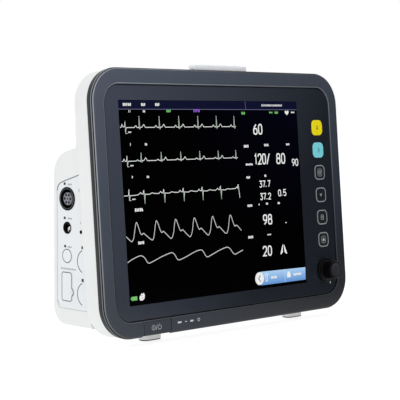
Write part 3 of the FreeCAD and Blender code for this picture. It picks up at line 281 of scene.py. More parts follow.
for n_, rgb_, r_ in (("steel", (168, 168, 170), 0.32), ("plated", (205, 203, 196), 0.2), ("brass", (190, 156, 84), 0.3),
                     ("sheet_metal", (170, 172, 174), 0.42), ("pump_metal", (140, 142, 146), 0.38)):
    mm_ = Mat(n_, lin(*rgb_), r_, 1.0)
    mm_.vary(0.08, 8).roughness(r_ * 0.75, r_ * 1.3, 2.0).grain(0.6, 0.15)
    M[n_] = mm_.m


def lens_material():
    m = Mat("lens_white", lin(232, 234, 240), 0.28, Specular_IOR_Level=0.5, Subsurface_Weight=0.25, Subsurface_Scale=0.004)
    m.b.inputs["Subsurface Radius"].default_value = (1.0, 1.0, 1.0)
    m.vary(0.03, 14).roughness(0.24, 0.34).grain(0.7, 0.06)
    M["lens_white"] = m.m


lens_material()


def screen_material():
    """Unlit black of a liquid crystal panel, a trace of navy towards the upper right."""
    m = Mat("screen_black", (0.0, 0.0, 0.0), 0.12, Specular_IOR_Level=0.12)
    sep = m.node("ShaderNodeSeparateXYZ")
    m.link(m.coords(), sep.inputs[0])
    across = m.ramp(sep.outputs["X"], -60, 100, 0, 1)
    up = m.ramp(sep.outputs["Z"], 90, 225, 0, 1)
    mul = m.node("ShaderNodeMath", operation="MULTIPLY")
    m.link(across, mul.inputs[0])
    m.link(up, mul.inputs[1])
    cells = m.ramp(m.voronoi(0.24), 0, 0.6, 0.85, 1.1)
    mul2 = m.node("ShaderNodeMath", operation="MULTIPLY")
    m.link(mul.outputs[0], mul2.inputs[0])
    m.link(cells, mul2.inputs[1])
    col = m.mix(mul2.outputs[0], (0.00012, 0.00012, 0.0002), (0.0006, 0.0008, 0.0052))
    m.link(col, m.b.inputs["Emission Color"])
    m.b.inputs["Emission Strength"].default_value = 1.0
    M["screen_black"] = m.m


screen_material()


def glow(name, rgb, strength=1.0, var=0.12):
    """A lit part of the picture: its own light, broken up by the fine dot grid of the panel."""
    m = Mat(name, (0.0, 0.0, 0.0), 0.4, Specular_IOR_Level=0.1)
    c = lin(*rgb)
    f = m.ramp(m.voronoi(0.24), 0.0, 0.55, 0, 1)
    m.link(m.mix(f, c, tuple(x * (1 - var) for x in c)), m.b.inputs["Emission Color"])
    m.b.inputs["Emission Strength"].default_value = strength
    M[name] = m.m


glow("lit_white", (246, 248, 246))
glow("lit_soft", (212, 216, 212))
glow("lit_green", (120, 200, 110))
glow("lit_trace", (238, 243, 238))
glow("lit_spike", (156, 178, 154))
glow("lit_purple", (150, 96, 214))
glow("lit_line", (104, 104, 138))
glow("lit_navy", (8, 12, 44))
glow("lit_navy2", (10, 16, 52))
glow("lit_icon_dark", (20, 22, 26))


def bar_material():
    m = Mat("lit_bar", (0.0, 0.0, 0.0), 0.4, Specular_IOR_Level=0.1)
    sep = m.node("ShaderNodeSeparateXYZ")
    m.link(m.coords(), sep.inputs[0])
    f = m.ramp(sep.outputs["Z"], 38.5, 51.5, 0, 1)
    m.link(m.mix(f, lin(88, 140, 206), lin(168, 204, 240)), m.b.inputs["Emission Color"])
    m.b.inputs["Emission Strength"].default_value = 1.0
    M["lit_bar"] = m.m


bar_material()


def clear_material():
    m = Mat("window_clear", lin(210, 214, 218), 0.2, Specular_IOR_Level=0.5, Transmission_Weight=0.4)
    m.vary(0.04, 2).roughness(0.15, 0.25).grain(0.5, 0.05)
    M["window_clear"] = m.m


clear_material()


# ------------------------------------------------------------------ mesh helpers
def make(name, verts, faces, place, mat, body, slot=None, sharp=35.0, mats=None):
    """A new piece from points in millimetres, put in place by the lean or lift frame."""
    me = bpy.data.meshes.new(name)
    me.from_pydata([tuple((MM @ place @ Vector(v))) if not isinstance(v, Vector) else tuple(MM @ place @ v) for v in verts], [], faces)
    bm = bmesh.new()
    bm.from_mesh(me)
    bmesh.ops.remove_doubles(bm, verts=bm.verts, dist=1e-7)
    bmesh.ops.recalc_face_normals(bm, faces=bm.faces)
    bm.to_mesh(me)
    bm.free()
    o = bpy.data.objects.new(name, me)
    bpy.context.scene.collection.objects.link(o)
    me.materials.append(M[mat])
    smooth(o, sharp)
    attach(o, body)
    if slot:
        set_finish(o, slot)
    return o


def smooth(o, angle=35.0):
    for p in o.data.polygons:
        p.use_smooth = True
    o.data.set_sharp_from_angle(angle=math.radians(angle))


def weigh(o):
    """Shading that keeps large faces flat beside small roundings."""
    mod = o.modifiers.new("w", "WEIGHTED_NORMAL")
    mod.mode, mod.weight, mod.keep_sharp = "FACE_AREA", 60, True
    apply_mods(o)


def apply_mods(o):
    bpy.context.view_layer.update()
    dg = bpy.context.evaluated_depsgraph_get()
    me = bpy.data.meshes.new_from_object(o.evaluated_get(dg), preserve_all_data_layers=True, depsgraph=dg)
    old = o.data
    o.modifiers.clear()
    o.data = me
    me.name = old.name
    bpy.data.meshes.remove(old)


def join(name, objs):
    """Several pieces as one, on the first one's body."""
    verts, faces, mats, index = [], [], [], []
    for o in objs:
        base = len(verts)
        verts += [o.matrix_world @ v.co for v in o.data.vertices]
        slots = []
        for m in o.data.materials:
            if m not in mats:
                mats.append(m)
            slots.append(mats.index(m))
        for p in o.data.polygons:
            faces.append([base + i for i in p.vertices])
            index.append(slots[p.material_index] if slots else 0)
    me = bpy.data.meshes.new(name)
    me.from_pydata(verts, [], faces)
    for m in mats:
        me.materials.append(m)
    me.polygons.foreach_set("material_index", index)
    first = objs[0]
    body, sl = first["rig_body"], first.get("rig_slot")
    for o in objs:
        d = o.data
        bpy.data.objects.remove(o)
        bpy.data.meshes.remove(d)
    o = bpy.data.objects.new(name, me)
    bpy.context.scene.collection.objects.link(o)
    smooth(o)
    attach(o, body)
    if sl:
        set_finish(o, sl)
    return o


def rr_loop(w, t, r, cx=0.0, cy=0.0, seg=14):
    """Points of a rounded rectangle, counter-clockwise."""
    r = max(r, 0.01)
    out = []
    for sx, sy, a0 in ((1, -1, -90), (1, 1, 0), (-1, 1, 90), (-1, -1, 180)):
        ox, oy = cx + sx * (w / 2 - r), cy + sy * (t / 2 - r)
        for k in range(seg + 1):
            a = math.radians(a0 + 90 * k / seg)
            out.append((ox + r * math.cos(a), oy + r * math.sin(a)))
    return out


def sweep_rr(profile, w, t, r, cx=0.0, cy=0.0, seg=14, closed=True, cap_first=False, cap_last=False):
    """Rounded-rectangle loops, one for each (inset, depth) of the profile, joined by quads. Points are (x, n, v)."""
    verts, faces = [], []
    m = 4 * (seg + 1)
    for d, n in profile:
        verts += [(x, n, v) for x, v in rr_loop(w - 2 * d, t - 2 * d, r - d, cx, cy, seg)]
    rows = len(profile)
    for i in range(rows if closed else rows - 1):
        a, b = i * m, ((i + 1) % rows) * m
        for k in range(m):
            k2 = (k + 1) % m
            faces.append((a + k, a + k2, b + k2, b + k))
    if cap_first:
        faces.append(tuple(reversed(range(m))))
    if cap_last:
        faces.append(tuple(range((rows - 1) * m, rows * m)))
    return verts, faces


def arc(d0, n0, r, a0, a1, k=6):
    """Profile points of a rounded edge about (d0, n0), angles in degrees."""
    return [(d0 + r * math.cos(math.radians(a0 + (a1 - a0) * i / k)), n0 + r * math.sin(math.radians(a0 + (a1 - a0) * i / k))) for i in range(k + 1)]


def revolve(profile, cx, cv, seg=64, axis="n", cn=0.0):
    """Rings of (radius, along) about an axis through the point: 'n' in depth, 'x' across."""
    verts, faces, rings = [], [], []
    for r, a in profile:
        if r < 1e-6:
            rings.append([len(verts)])
            verts.append((cx, a, cv) if axis == "n" else (a, cn, cv))
            continue
        ring = []
        for k in range(seg):
            t = 2 * math.pi * k / seg
            ring.append(len(verts))
            verts.append((cx + r * math.cos(t), a, cv + r * math.sin(t)) if axis == "n" else (a, cn + r * math.cos(t), cv + r * math.sin(t)))
        rings.append(ring)
    for A, B in zip(rings, rings[1:]):
        if len(A) == 1 and len(B) == 1:
            continue
        for k in range(seg):
            k2 = (k + 1) % seg
            if len(A) == 1:
                faces.append((A[0], B[k2], B[k]))
            elif len(B) == 1:
                faces.append((A[k], A[k2], B[0]))
            else:
                faces.append((A[k], A[k2], B[k2], B[k]))
    return verts, faces


def cube(x0, x1, n0, n1, v0, v1):
    vs = [(x, n, v) for x in (x0, x1) for n in (n0, n1) for v in (v0, v1)]
    fs = [(0, 1, 3, 2), (4, 6, 7, 5), (0, 4, 5, 1), (2, 3, 7, 6), (0, 2, 6, 4), (1, 5, 7, 3)]
    return vs, fs


def cutter(geo, place):
    me = bpy.data.meshes.new("cutter")
    me.from_pydata([tuple(MM @ place @ Vector(v)) for v in geo[0]], [], geo[1])
    bm = bmesh.new()
    bm.from_mesh(me)
    bmesh.ops.recalc_face_normals(bm, faces=bm.faces)
    bm.to_mesh(me)
    bm.free()
    o = bpy.data.objects.new("cutter", me)
    bpy.context.scene.collection.objects.link(o)
    return o


def boolean(o, geo, place, op="DIFFERENCE"):
    c = cutter(geo, place)
    mod = o.modifiers.new("b", "BOOLEAN")
    mod.operation, mod.object, mod.solver = op, c, "EXACT"
    apply_mods(o)
    d = c.data
    bpy.data.objects.remove(c)
    bpy.data.meshes.remove(d)


def bevel(o, width, seg=2, angle=35.0):
    mod = o.modifiers.new("v", "BEVEL")
    mod.width, mod.segments, mod.limit_method, mod.angle_limit = width * 0.001, seg, "ANGLE", math.radians(angle)
    mod.harden_normals = False
    apply_mods(o)
    smooth(o, 40)


def flat(points, n, thick=0.05):
    """A thin raised plate with this outline, (x, v) points counter-clockwise, its face at depth n."""
    k = len(points)
    verts = [(x, n, v) for x, v in points] + [(x, n + thick, v) for x, v in points]
    faces = [tuple(range(k)), tuple(reversed(range(k, 2 * k)))] + [(i, i + k, (i + 1) % k + k, (i + 1) % k) for i in range(k)]
    return verts, faces


def stroke(points, width, n, thick=0.05, closed=False):
    """A line of constant width through (x, v) points, as a thin raised strip."""
    P = [Vector((x, v)) for x, v in points]
    if closed:
        P.append(P[0])
    verts, faces = [], []
    L, R = [], []
    for i, p in enumerate(P):
        if closed and i in (0, len(P) - 1):
            d0, d1 = (P[-1] - P[-2]).normalized(), (P[1] - P[0]).normalized()
        else:
            d0 = (P[i] - P[i - 1]).normalized() if i else (P[1] - P[0]).normalized()
            d1 = (P[i + 1] - P[i]).normalized() if i < len(P) - 1 else d0
        nrm0, nrm1 = Vector((-d0.y, d0.x)), Vector((-d1.y, d1.x))
        m = nrm0 + nrm1
        m = m.normalized() if m.length > 0.2 else nrm0
        s = min(2.2, 1.0 / max(0.35, m.dot(nrm0)))
        L.append(p + m * (width / 2 * s))
        R.append(p - m * (width / 2 * s))
    k = len(P)
    for row, dn in ((L, 0), (R, 0), (L, thick), (R, thick)):
        verts += [(q.x, n + dn, q.y) for q in row]
    for i in range(k - 1):
        faces += [(i, i + 1, k + i + 1, k + i), (2 * k + i, 3 * k + i, 3 * k + i + 1, 2 * k + i + 1),
                  (i, 2 * k + i, 2 * k + i + 1, i + 1), (k + i, k + i + 1, 3 * k + i + 1, 3 * k + i)]
    if not closed:
        faces += [(0, k, 3 * k, 2 * k), (k - 1, 3 * k - 1, 4 * k - 1, 2 * k - 1)]
    return verts, faces


def merged(*geos):
    verts, faces = [], []
    for vs, fs in geos:
        b = len(verts)
        verts += list(vs)
        faces += [tuple(b + i for i in f) for f in fs]
    return verts, faces


def circle_pts(x, v, r, k=28, a0=0.0, a1=360.0):
    full = abs(a1 - a0 - 360) < 1e-6
    n_ = k if full else k + 1
    return [(x + r * math.cos(math.radians(a0 + (a1 - a0) * i / k)), v + r * math.sin(math.radians(a0 + (a1 - a0) * i / k))) for i in range(n_)]


def repaint(node, mat):
    o = NODES[node]
    o.data.materials.clear()
    o.data.materials.append(M[mat])
    smooth(o, 30)


# ------------------------------------------------------------------ front frame and its power key
def fpt(d, n):
    """A loop of the frame: d runs from 0 at the outer edge to 14.2 at the inner lip."""
    s = d / 14.2
    return (342.0 - 28.4 * s, 243.6 - 30.0 * s, 32.0 - 13.7 * s, n)


def sweep_loops(loops, cx=0.0, cy=0.0, seg=14, closed=True, caps=False):
    verts, faces = [], []
    m = 4 * (seg + 1)
    for w, t, r, n in loops:
        verts += [(x, n, v) for x, v in rr_loop(w, t, r, cx, cy, seg)]
    rows = len(loops)
    for i in range(rows if closed else rows - 1):
        a, b = i * m, ((i + 1) % rows) * m
        for k in range(m):
            k2 = (k + 1) % m
            faces.append((a + k, a + k2, b + k2, b + k))
    if caps:
        faces.append(tuple(reversed(range(m))))
        faces.append(tuple(range((rows - 1) * m, rows * m)))
    return verts, faces


FRAME_FACE = [(1.0, 0.0), (1.0, -0.5), (1.04, -0.76), (1.16, -0.96), (1.42, -1.11), (2.0, -1.19), (4.0, -1.27), (7.0, -1.33), (10.0, -1.36), (12.5, -1.36),
              (13.15, -1.33), (13.5, -1.22), (13.74, -1.02), (13.88, -0.74), (13.93, -0.4), (13.93, 3.0)]
FRAME_BACK = [(305.4, 207.0, 8.0, 3.0), (305.4, 207.0, 8.0, 6.0), (335.0, 236.6, 28.5, 6.0), (335.0, 236.6, 28.5, 2.4)]
COLLAR = [(342.0, 243.6, 32.0, 2.4), (342.0, 243.6, 32.0, 1.5), (341.7, 243.3, 31.85, 1.15), (341.0, 242.6, 31.5, 0.92), (340.4, 242.0, 31.2, 0.9), (336.8, 238.4, 29.4, 0.9), (336.8, 238.4, 29.4, 0.0)]


def rows(o, seg, table):
    """Give whole rows of a swept piece another material: {row: slot index}."""
    m = 4 * (seg + 1)
    for p in o.data.polygons:
        p.material_index = table.get(p.index // m, 0)


front_loops = [fpt(d, n) for d, n in FRAME_FACE]
bezel = make("front_frame_shell", *sweep_loops(front_loops + FRAME_BACK + COLLAR, seg=18), LEAN, "frame_plastic", "monitor", "frame_charcoal")
bezel.data.materials.append(M["frame_edge"])
bezel.data.materials.append(M["band_plastic"])
bezel.data.materials.append(M["band_edge_painted_highlight"])
bezel.data.materials.append(M["frame_rim"])
# Rows 0 to 3 of the outer rounding take the painted rim highlight, rows 10 to 12 of the inner lip the painted lip
# highlight, and rows 21 and 22 of the collar's front chamfer the painted chamfer highlight.
table = {r: 1 for r in (10, 11, 12)}
table.update({r: 4 for r in (0, 1, 2, 3)})
table.update({r: 2 for r in range(18, 27)})
table.update({21: 3, 22: 3})
rows(bezel, 18, table)
power = make("power_key_cap", *sweep_loops([fpt(1.0, 2.0)] + front_loops[1:] + FRAME_BACK, seg=18), LEAN, "power_plastic", "power_button", "power_charcoal")
power.data.materials.append(M["frame_edge"])
power.data.materials.append(M["frame_rim"])
# The power key's outer rounding and inner lip rows take the same painted highlights.
rows(power, 18, {0: 2, 1: 2, 2: 2, 3: 2, 10: 1, 11: 1, 12: 1})
boolean(bezel, cube(PX - 17.6, PX + 17.6, -6, 2.4001, -130, -107.95), LEAN)
boolean(power, cube(PX - 17.0, PX + 17.0, -6, 1.2, -130, -108.25), LEAN, "INTERSECT")
bevel(power, 0.22, 2)
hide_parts("front_frame")
weigh(bezel)
weigh(power)
stem = make("power_key_stem", *revolve([(0, 1.1), (2, 1.1), (2, 7.7), (1.7, 8.0), (0, 8.0)], PX, -113, 32), LEAN, "power_plastic", "power_button", "power_charcoal")
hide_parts("power_key")

# dark band behind the parting line
band = make("side_band_ring", *sweep_loops([(339.6, 241.2, 30.8, 3.2), (340.4, 242.0, 31.2, 3.24), (340.85, 242.45, 31.42, 3.4), (341.0, 242.6, 31.5, 3.75),
    (341.0, 242.6, 31.5, 6.5), (340.8, 242.4, 31.4, 6.85), (340.2, 241.8, 31.1, 7.0), (335.2, 236.8, 28.6, 7.0), (335.2, 236.8, 28.6, 3.2)], seg=18),
    LEAN, "band_plastic", "monitor", "band_charcoal")
weigh(band)
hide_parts("side_band")

# glossy panel with its openings
panel = make("front_panel_sheet", *sweep_loops([(311.4, 211.4, 17.2, 0.0), (312.0, 212.0, 17.5, 0.12), (312.4, 212.4, 17.7, 0.5), (312.4, 212.4, 17.7, 3.0)], seg=18, closed=False, caps=True),
             LEAN, "panel_gloss", "monitor", "panel_gloss")


def prism_rr(w, t, r, n0, n1, cx, cy, seg=10):
    return sweep_loops([(w, t, r, n0), (w, t, r, n1)], cx, cy, seg, closed=False, caps=True)


for v_ in KEYS:
    boolean(panel, prism_rr(17.4, 16.4, 5.3, -2, 5, KX, v_), LEAN)
boolean(panel, prism_rr(246.4, 184.9, 1.0, -2, 5, SX, 0, 5), LEAN)
boolean(panel, prism_rr(254.4, 192.9, 2.0, 1.5, 5, SX, 0, 5), LEAN)
boolean(panel, revolve([(0, -2), (3.75, -2), (3.75, 5), (0, 5)], KX, KZ, 40), LEAN)
boolean(panel, revolve([(0, -2), (1.1, -2), (1.1, 5), (0, 5)], 145, -95.6, 24), LEAN)
bevel(panel, 0.12, 2, 50)
# The panel's outer rim faces take the darker colour, painted shade of the groove.
panel.data.materials.append(M["panel_edge_painted_shade"])
for p in panel.data.polygons:
    c_ = (MM @ LEAN).inverted() @ p.center
    if abs(c_.x) > 155.75 or abs(c_.z) > 105.75:
        p.material_index = 1
weigh(panel)
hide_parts("front_panel")

# ------------------------------------------------------------------ keys
KEY_MAT = ["key_yellow", "key_blue", "key_dark", "key_dark", "key_dark", "key_dark"]
for k, v_ in enumerate(KEYS):
    body_loops = [(19.2, 18.2, 6.2, 4.3), (19.2, 18.2, 6.2, 3.3), (16.8, 15.8, 5.0, 3.3), (16.8, 15.8, 5.0, 0.05), (16.72, 15.72, 4.96, -0.16), (16.5, 15.5, 4.88, -0.34),
                  (16.15, 15.15, 4.75, -0.47), (15.6, 14.6, 4.55, -0.55), (14.6, 13.6, 4.2, -0.585), (9.0, 8.4, 2.6, -0.60)]
    cap = make("key_%d_cap" % (k + 1), *sweep_loops(body_loops, KX, v_, 10, closed=False, caps=True), LEAN, KEY_MAT[k], "key_%d" % (k + 1),
               "key_yellow" if k == 0 else "key_blue" if k == 1 else "key_dark")
    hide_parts("key_%d" % (k + 1))
    make("key_%d_stem" % (k + 1), *revolve([(0, 4.2), (2.5, 4.2), (2.5, 6.0), (2.3, 6.2), (0, 6.2)], KX, v_, 32), LEAN, KEY_MAT[k], "key_%d" % (k + 1))
    if k >= 2:
        ring = make("key_%d_ring" % (k + 1), *stroke(rr_loop(15.0, 14.0, 4.3, KX, v_, 10), 1.0, -0.66, 0.3, True), LEAN, "key_ring", "key_%d" % (k + 1), "key_dark")


def icon(name, body, mat, geos, slot):
    return make(name, *merged(*geos), LEAN, mat, body, slot)


def at(v0, pts, x0=KX):
    return [(x0 + a, v0 + b) for a, b in pts]


NK = -0.68
TH = 0.1
v1, v2, v3, v4, v5, v6 = KEYS
bell = [(-1.5, -1.3), (-1.1, -0.7), (-1.1, 0.4), (-0.8, 1.2), (-0.3, 1.6), (0.3, 1.6), (0.8, 1.2), (1.1, 0.4), (1.1, -0.7), (1.5, -1.3)]
icon("key_1_icon", "key_1", "key_print_dark", [stroke(at(v1, bell), 0.45, NK, TH, True), flat(circle_pts(KX, v1 - 1.9, 0.45, 12), NK, TH),
     flat(circle_pts(KX, v1 + 2.1, 0.35, 12), NK, TH), stroke(at(v1, [(-0.7, -0.2), (0.7, -0.2)]), 0.4, NK, TH)], "key_yellow")
icon("key_2_icon", "key_2", "key_print_blue", [stroke(at(v2, [(-1.2, 1.9), (0.9, 1.9), (1.3, 1.4), (1.3, 0.5), (0.6, 0), (1.3, -0.6), (1.3, -1.5), (0.8, -2.0), (-1.2, -2.0)]), 0.45, NK, TH),
     stroke(at(v2, [(-1.2, 0.9), (-0.2, 0.9), (-0.2, -0.9), (-1.2, -0.9)]), 0.4, NK, TH)], "key_blue")
icon("key_3_icon", "key_3", "key_print", [stroke(rr_loop(6.6, 7.4, 1.6, KX, v3, 5), 0.32, NK, TH, True), stroke(rr_loop(3.2, 3.6, 0.8, KX, v3, 5), 0.42, NK, TH, True),
     stroke(at(v3, [(0, -0.9), (0, 0.9)]), 0.4, NK, TH)], "key_dark")
icon("key_4_icon", "key_4", "key_print", [stroke(at(v4, [(-1.9, 0.6), (-1.0, 0.9), (-0.2, -1.3), (0.6, 0.8), (1.9, 0.9)]), 0.6, NK, TH)], "key_dark")
icon("key_5_icon", "key_5", "key_print", [stroke(rr_loop(3.8, 4.6, 0.9, KX, v5, 5), 0.42, NK, TH, True), stroke(at(v5, [(-0.9, 0.6), (0.9, 0.6)]), 0.35, NK, TH),
     stroke(at(v5, [(-0.9, -0.4), (0.5, -0.4)]), 0.35, NK, TH)], "key_dark")
icon("key_6_icon", "key_6", "key_print", [stroke(rr_loop(6.0, 6.8, 1.6, KX, v6, 5), 0.32, NK, TH, True), flat(at(v6, [(-1.5, -1.4), (1.5, -1.4), (1.5, 0.3), (0, 1.7), (-1.5, 0.3)]), NK, TH)], "key_dark")

# ------------------------------------------------------------------ knob
knob = make("knob_turned", *revolve([(0, -12.0), (3.02, -12.0), (3.02, -2.9), (4.6, -2.9), (4.6, -1.1), (12.5, -1.1), (12.75, -1.25), (12.8, -1.6), (12.8, -2.4), (12.7, -2.8),
     (12.4, -3.1), (11.9, -3.28), (11.0, -3.36), (10.2, -3.45), (9.7, -3.7), (9.42, -4.1), (9.34, -4.8), (9.3, -6.0), (9.26, -13.7), (9.18, -14.1), (8.95, -14.45), (8.6, -14.75),
     (8.2, -14.93), (7.8, -15.0), (7.5, -14.98), (7.34, -14.85), (7.3, -14.6), (7.3, -13.6), (0, -13.6)], KX, KZ, 96), LEAN, "knob_black", "knob_turn", "knob_black")
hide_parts("knob")
kcap = make("knob_cap_dish", *revolve([(0, -13.62), (7.2, -13.62), (7.2, -14.6), (7.1, -14.78), (6.85, -14.86), (6.55, -14.8), (6.2, -14.62), (5.4, -14.46), (4.0, -14.32), (2.0, -14.23), (0, -14.2)], KX, KZ, 96),
            LEAN, "cap_grey", "knob_turn", "cap_grey")
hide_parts("knob_cap")

# ------------------------------------------------------------------ alarm lens
lens = make("alarm_lens_bar", *merged(sweep_rr([(1.3, 2.6), (0.7, 2.72), (0.25, 3.05), (0.03, 3.6), (0, 4.2), (0, 9.2), (0.1, 9.7), (0.4, 10.1), (0.9, 10.33), (1.4, 10.4)], 75.0, 5.9, 2.6, 0, 124.25, 8, closed=False, cap_first=True, cap_last=True),
            cube(-33.8, 33.8, 6.5, 9.1, 116.4, 121.6)), LEAN, "lens_white", "monitor", "lens_white")
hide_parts("alarm_lens")

# ------------------------------------------------------------------ repainted nodes
for node, mat in {
    "frame_seal": "seal_rubber", "screen_glass": "screen_black", "status_windows": "window_clear", "front_casing": "casing_white", "rear_casing": "casing_white",
    "carry_handle": "casing_white", "side_label": "label_white", "ecg_socket": "socket_black", "mains_inlet": "socket_black", "network_socket": "socket_black",
    "ecg_insert": "socket_grey", "pressure_socket": "socket_black", "gas_nozzle": "socket_black", "round_blank": "blank_white", "slot_blank": "blank_white",
    "large_blanks": "blank_white", "battery_door": "casing_white", "feet": "foot_grey", "case_screws": "steel", "handle_brackets": "casing_white", "rear_panel": "casing_white", "connector_plate": "casing_white", "encoder_shaft": "steel",
    "ground_post": "plated", "inlet_pins": "plated", "base_inserts": "brass", "chassis_plate": "sheet_metal", "supply_cover": "sheet_metal", "display_module": "sheet_metal",
    "main_board": "board_green", "keypad_board": "board_green", "parameter_board": "board_green", "alarm_light_board": "board_green", "supply_board": "board_green",
    "power_switch": "board_green", "keypad_switches": "chip_black", "encoder_body": "chip_black", "encoder_plunger": "chip_black",
    "display_ribbon": "ribbon_amber", "battery_pack": "battery_black", "battery_bay": "bay_grey", "fan_housing": "fan_black", "fan_rotor": "fan_black",
    "loudspeaker": "speaker_paper", "pressure_pump": "pump_metal", "release_valve": "pump_metal", "air_tube": "tube_clear",
}.items():
    repaint(node, mat)
NODES["feet"].data.materials.append(M["foot_pad"])
for p in NODES["feet"].data.polygons:
    if (NODES["feet"].matrix_world @ p.center).z < 0.00125:
        p.material_index = 1

# ------------------------------------------------------------------ marks on the lower band
NB = -1.3


def mark(name, geos, mat="print_white", body="monitor", slot="frame_charcoal"):
    return make(name, *merged(*geos), LEAN, mat, body, slot)


def surf(v):
    """Depth of the frame's convex face at height v on the lower band."""
    d = (v + 121.8) * 14.2 / 15.0
    pts = [(a, b) for a, b in FRAME_FACE if 1.4 <= a <= 13.2]
    for (a, b), (c, e) in zip(pts, pts[1:]):
        if a <= d <= c:
            return b + (e - b) * (d - a) / (c - a)
    return pts[-1][1]


nm = surf(-113.0) - 0.06
tilde = [(-1.3, -0.2), (-0.9, 0.25), (-0.45, 0.3), (0.45, -0.3), (0.9, -0.25), (1.3, 0.2)]
mark("band_marks", [stroke([(-82.0, -112.9), (-77.2, -112.9)], 1.5, nm, 0.2), stroke(at(-113.0, tilde, -71.3), 0.5, nm, 0.2),
     stroke([(-65.6, -113.1), (-61.9, -113.1)], 1.6, nm, 0.2), stroke([(-61.7, -113.1), (-61.2, -113.1)], 0.8, nm, 0.2),
     stroke(circle_pts(-54.3, -113.0, 1.35, 24), 0.42, nm, 0.2, True)])
# Painted highlight: a light stroke on the bezel beside the power key's slot stands in for the lit edge of the slot.
mark("power_slot_painted_highlight", [stroke([(PX - 17.95, -120.4), (PX - 17.95, -107.6)], 0.4, -1.33, 0.3)], "frame_edge")
# standby symbols on the power key
npk = surf(-114.2) - 0.05
mark("power_symbols", [stroke(circle_pts(-112.9, -114.2, 2.1, 24), 0.5, npk, 0.2, True), stroke([(-112.9, -113.3), (-112.9, -115.1)], 0.5, npk, 0.2),
     stroke([(-110.1, -116.6), (-108.3, -111.8)], 0.45, npk, 0.2), stroke(circle_pts(-105.4, -114.2, 2.1, 24, 125, 415), 0.5, npk, 0.2),
     stroke([(-105.4, -113.2), (-105.4, -111.2)], 0.5, npk, 0.2)], "key_print", "power_button", "power_charcoal")

# ------------------------------------------------------------------ the picture on the screen
NS = 0.35
N1, N2, N3 = NS - 0.05, NS - 0.09, NS - 0.12


def sx(pts):
    """Points of the picture, from the screen's own centre."""
    return [(x + SX, v) for x, v in pts]


def lit(name, mat, geos):
    return make(name, *merged(*geos), LEAN, mat, "monitor", "screen_glass", sharp=30)


def rect(x0, x1, v0, v1, n, th=0.04):
    return flat([(x0 + SX, v0), (x1 + SX, v0), (x1 + SX, v1), (x0 + SX, v1)], n, th)


lit("picture_status_bar", "lit_navy", [rect(-122.9, 45.4, 84.7, 92.1, N1), rect(46.4, 122.9, 84.7, 92.1, N1)])
lit("picture_status_line", "lit_line", [rect(-122.9, 122.9, 83.9, 84.45, N1), rect(45.6, 46.1, 84.6, 92.1, N1)])

BEAT = 25.4


def beat(x, base, up, down, pw=1.6):
    """One heart beat: P wave, QRS and T wave."""
    return [(x - 6.3, base), (x - 5.0, base + pw * 0.9), (x - 4.2, base + pw), (x - 3.2, base), (x - 1.1, base), (x - 0.7, base - 0.6), (x, base + up), (x + 0.5, base - down),
            (x + 1.1, base + 0.1), (x + 3.2, base + 0.3), (x + 4.4, base + 1.6), (x + 5.4, base + 2.7), (x + 6.4, base + 1.5), (x + 7.4, base)]


def ecg(base, up, down, peaks, x0, x1, pw=1.6, tilt=0.0):
    pts = [(x0, base)]
    for p in peaks:
        pts += [q for q in beat(p, base, up, down, pw) if x0 < q[0] < x1]
    pts.append((x1, base))
    return [(x, v) for x, v in pts]


peaks = [-98.4 + BEAT * k for k in range(5)] + [28.2]
t1 = ecg(67.6, 10.2, 1.6, peaks, -105.0, 30.3)
cal1 = [(-122.3, 67.7), (-120.9, 68.0), (-119.8, 70.4), (-118.6, 68.2), (-116.8, 68.4), (-116.0, 73.0), (-115.7, 63.8), (-114.6, 67.6), (-105.0, 67.6)]
lit("picture_trace_1", "lit_trace", [stroke(sx(cal1 + t1[1:]), 0.62, N2, 0.04)])
peaks2 = [-98.4 + BEAT * k for k in range(5)] + [28.0]
t2 = ecg(37.3, 7.4, 1.0, peaks2, -105.0, 30.3, 1.0)
cal2 = [(-122.3, 37.3), (-120.6, 37.6), (-119.6, 39.4), (-118.4, 37.4), (-116.6, 37.4), (-116.0, 42.2), (-115.7, 33.6), (-114.6, 37.3), (-105.0, 37.3)]
lit("picture_trace_2", "lit_trace", [stroke(sx(cal2 + t2[1:]), 0.62, N2, 0.04)])


def dip(x, base):
    return [(x - 8.0, base), (x - 6.4, base + 0.5), (x - 4.9, base + 1.9), (x - 3.6, base + 0.6), (x - 1.9, base + 0.3), (x - 1.2, base + 3.0), (x - 0.7, base + 3.4),
            (x, base - 8.6), (x + 0.9, base + 0.2), (x + 2.2, base), (x + 6.0, base - 0.2), (x + 9.0, base + 0.8), (x + 10.4, base + 0.9), (x + 11.8, base + 0.4)]


pts3 = [(-122.4, 6.4), (-117.4, 6.4), (-116.6, 7.0), (-115.9, 12.2), (-115.6, 2.4), (-114.8, 6.3), (-106.4, 6.6)]
for k_ in range(5):
    pts3 += dip(-96.9 + 25.3 * k_, 6.9)
pts3 = [p for p in pts3] + [(24.6, 7.5), (26.2, 8.9), (27.6, 7.6), (28.4, 11.0), (28.9, 11.0), (30.2, -1.6)]
pts3 = [p for i, p in enumerate(pts3) if i == 0 or p[0] > pts3[i - 1][0] + 0.05]
lit("picture_trace_3", "lit_trace", [stroke(sx(pts3), 0.62, N2, 0.04)])
# the steep strokes look thicker and greener
spikes = []
for p in peaks:
    spikes.append(stroke(sx([(p - 0.35, 67.4), (p - 0.05, 77.2)]), 0.7, N3, 0.04))
for p in peaks2:
    spikes.append(stroke(sx([(p - 0.35, 37.2), (p - 0.05, 44.2)]), 0.7, N3, 0.04))
for k_ in range(5):
    spikes.append(stroke(sx([(-97.3 + 25.3 * k_, 6.6), (-96.9 + 25.3 * k_, -1.6)]), 0.7, N3, 0.04))
lit("picture_spikes", "lit_spike", spikes)
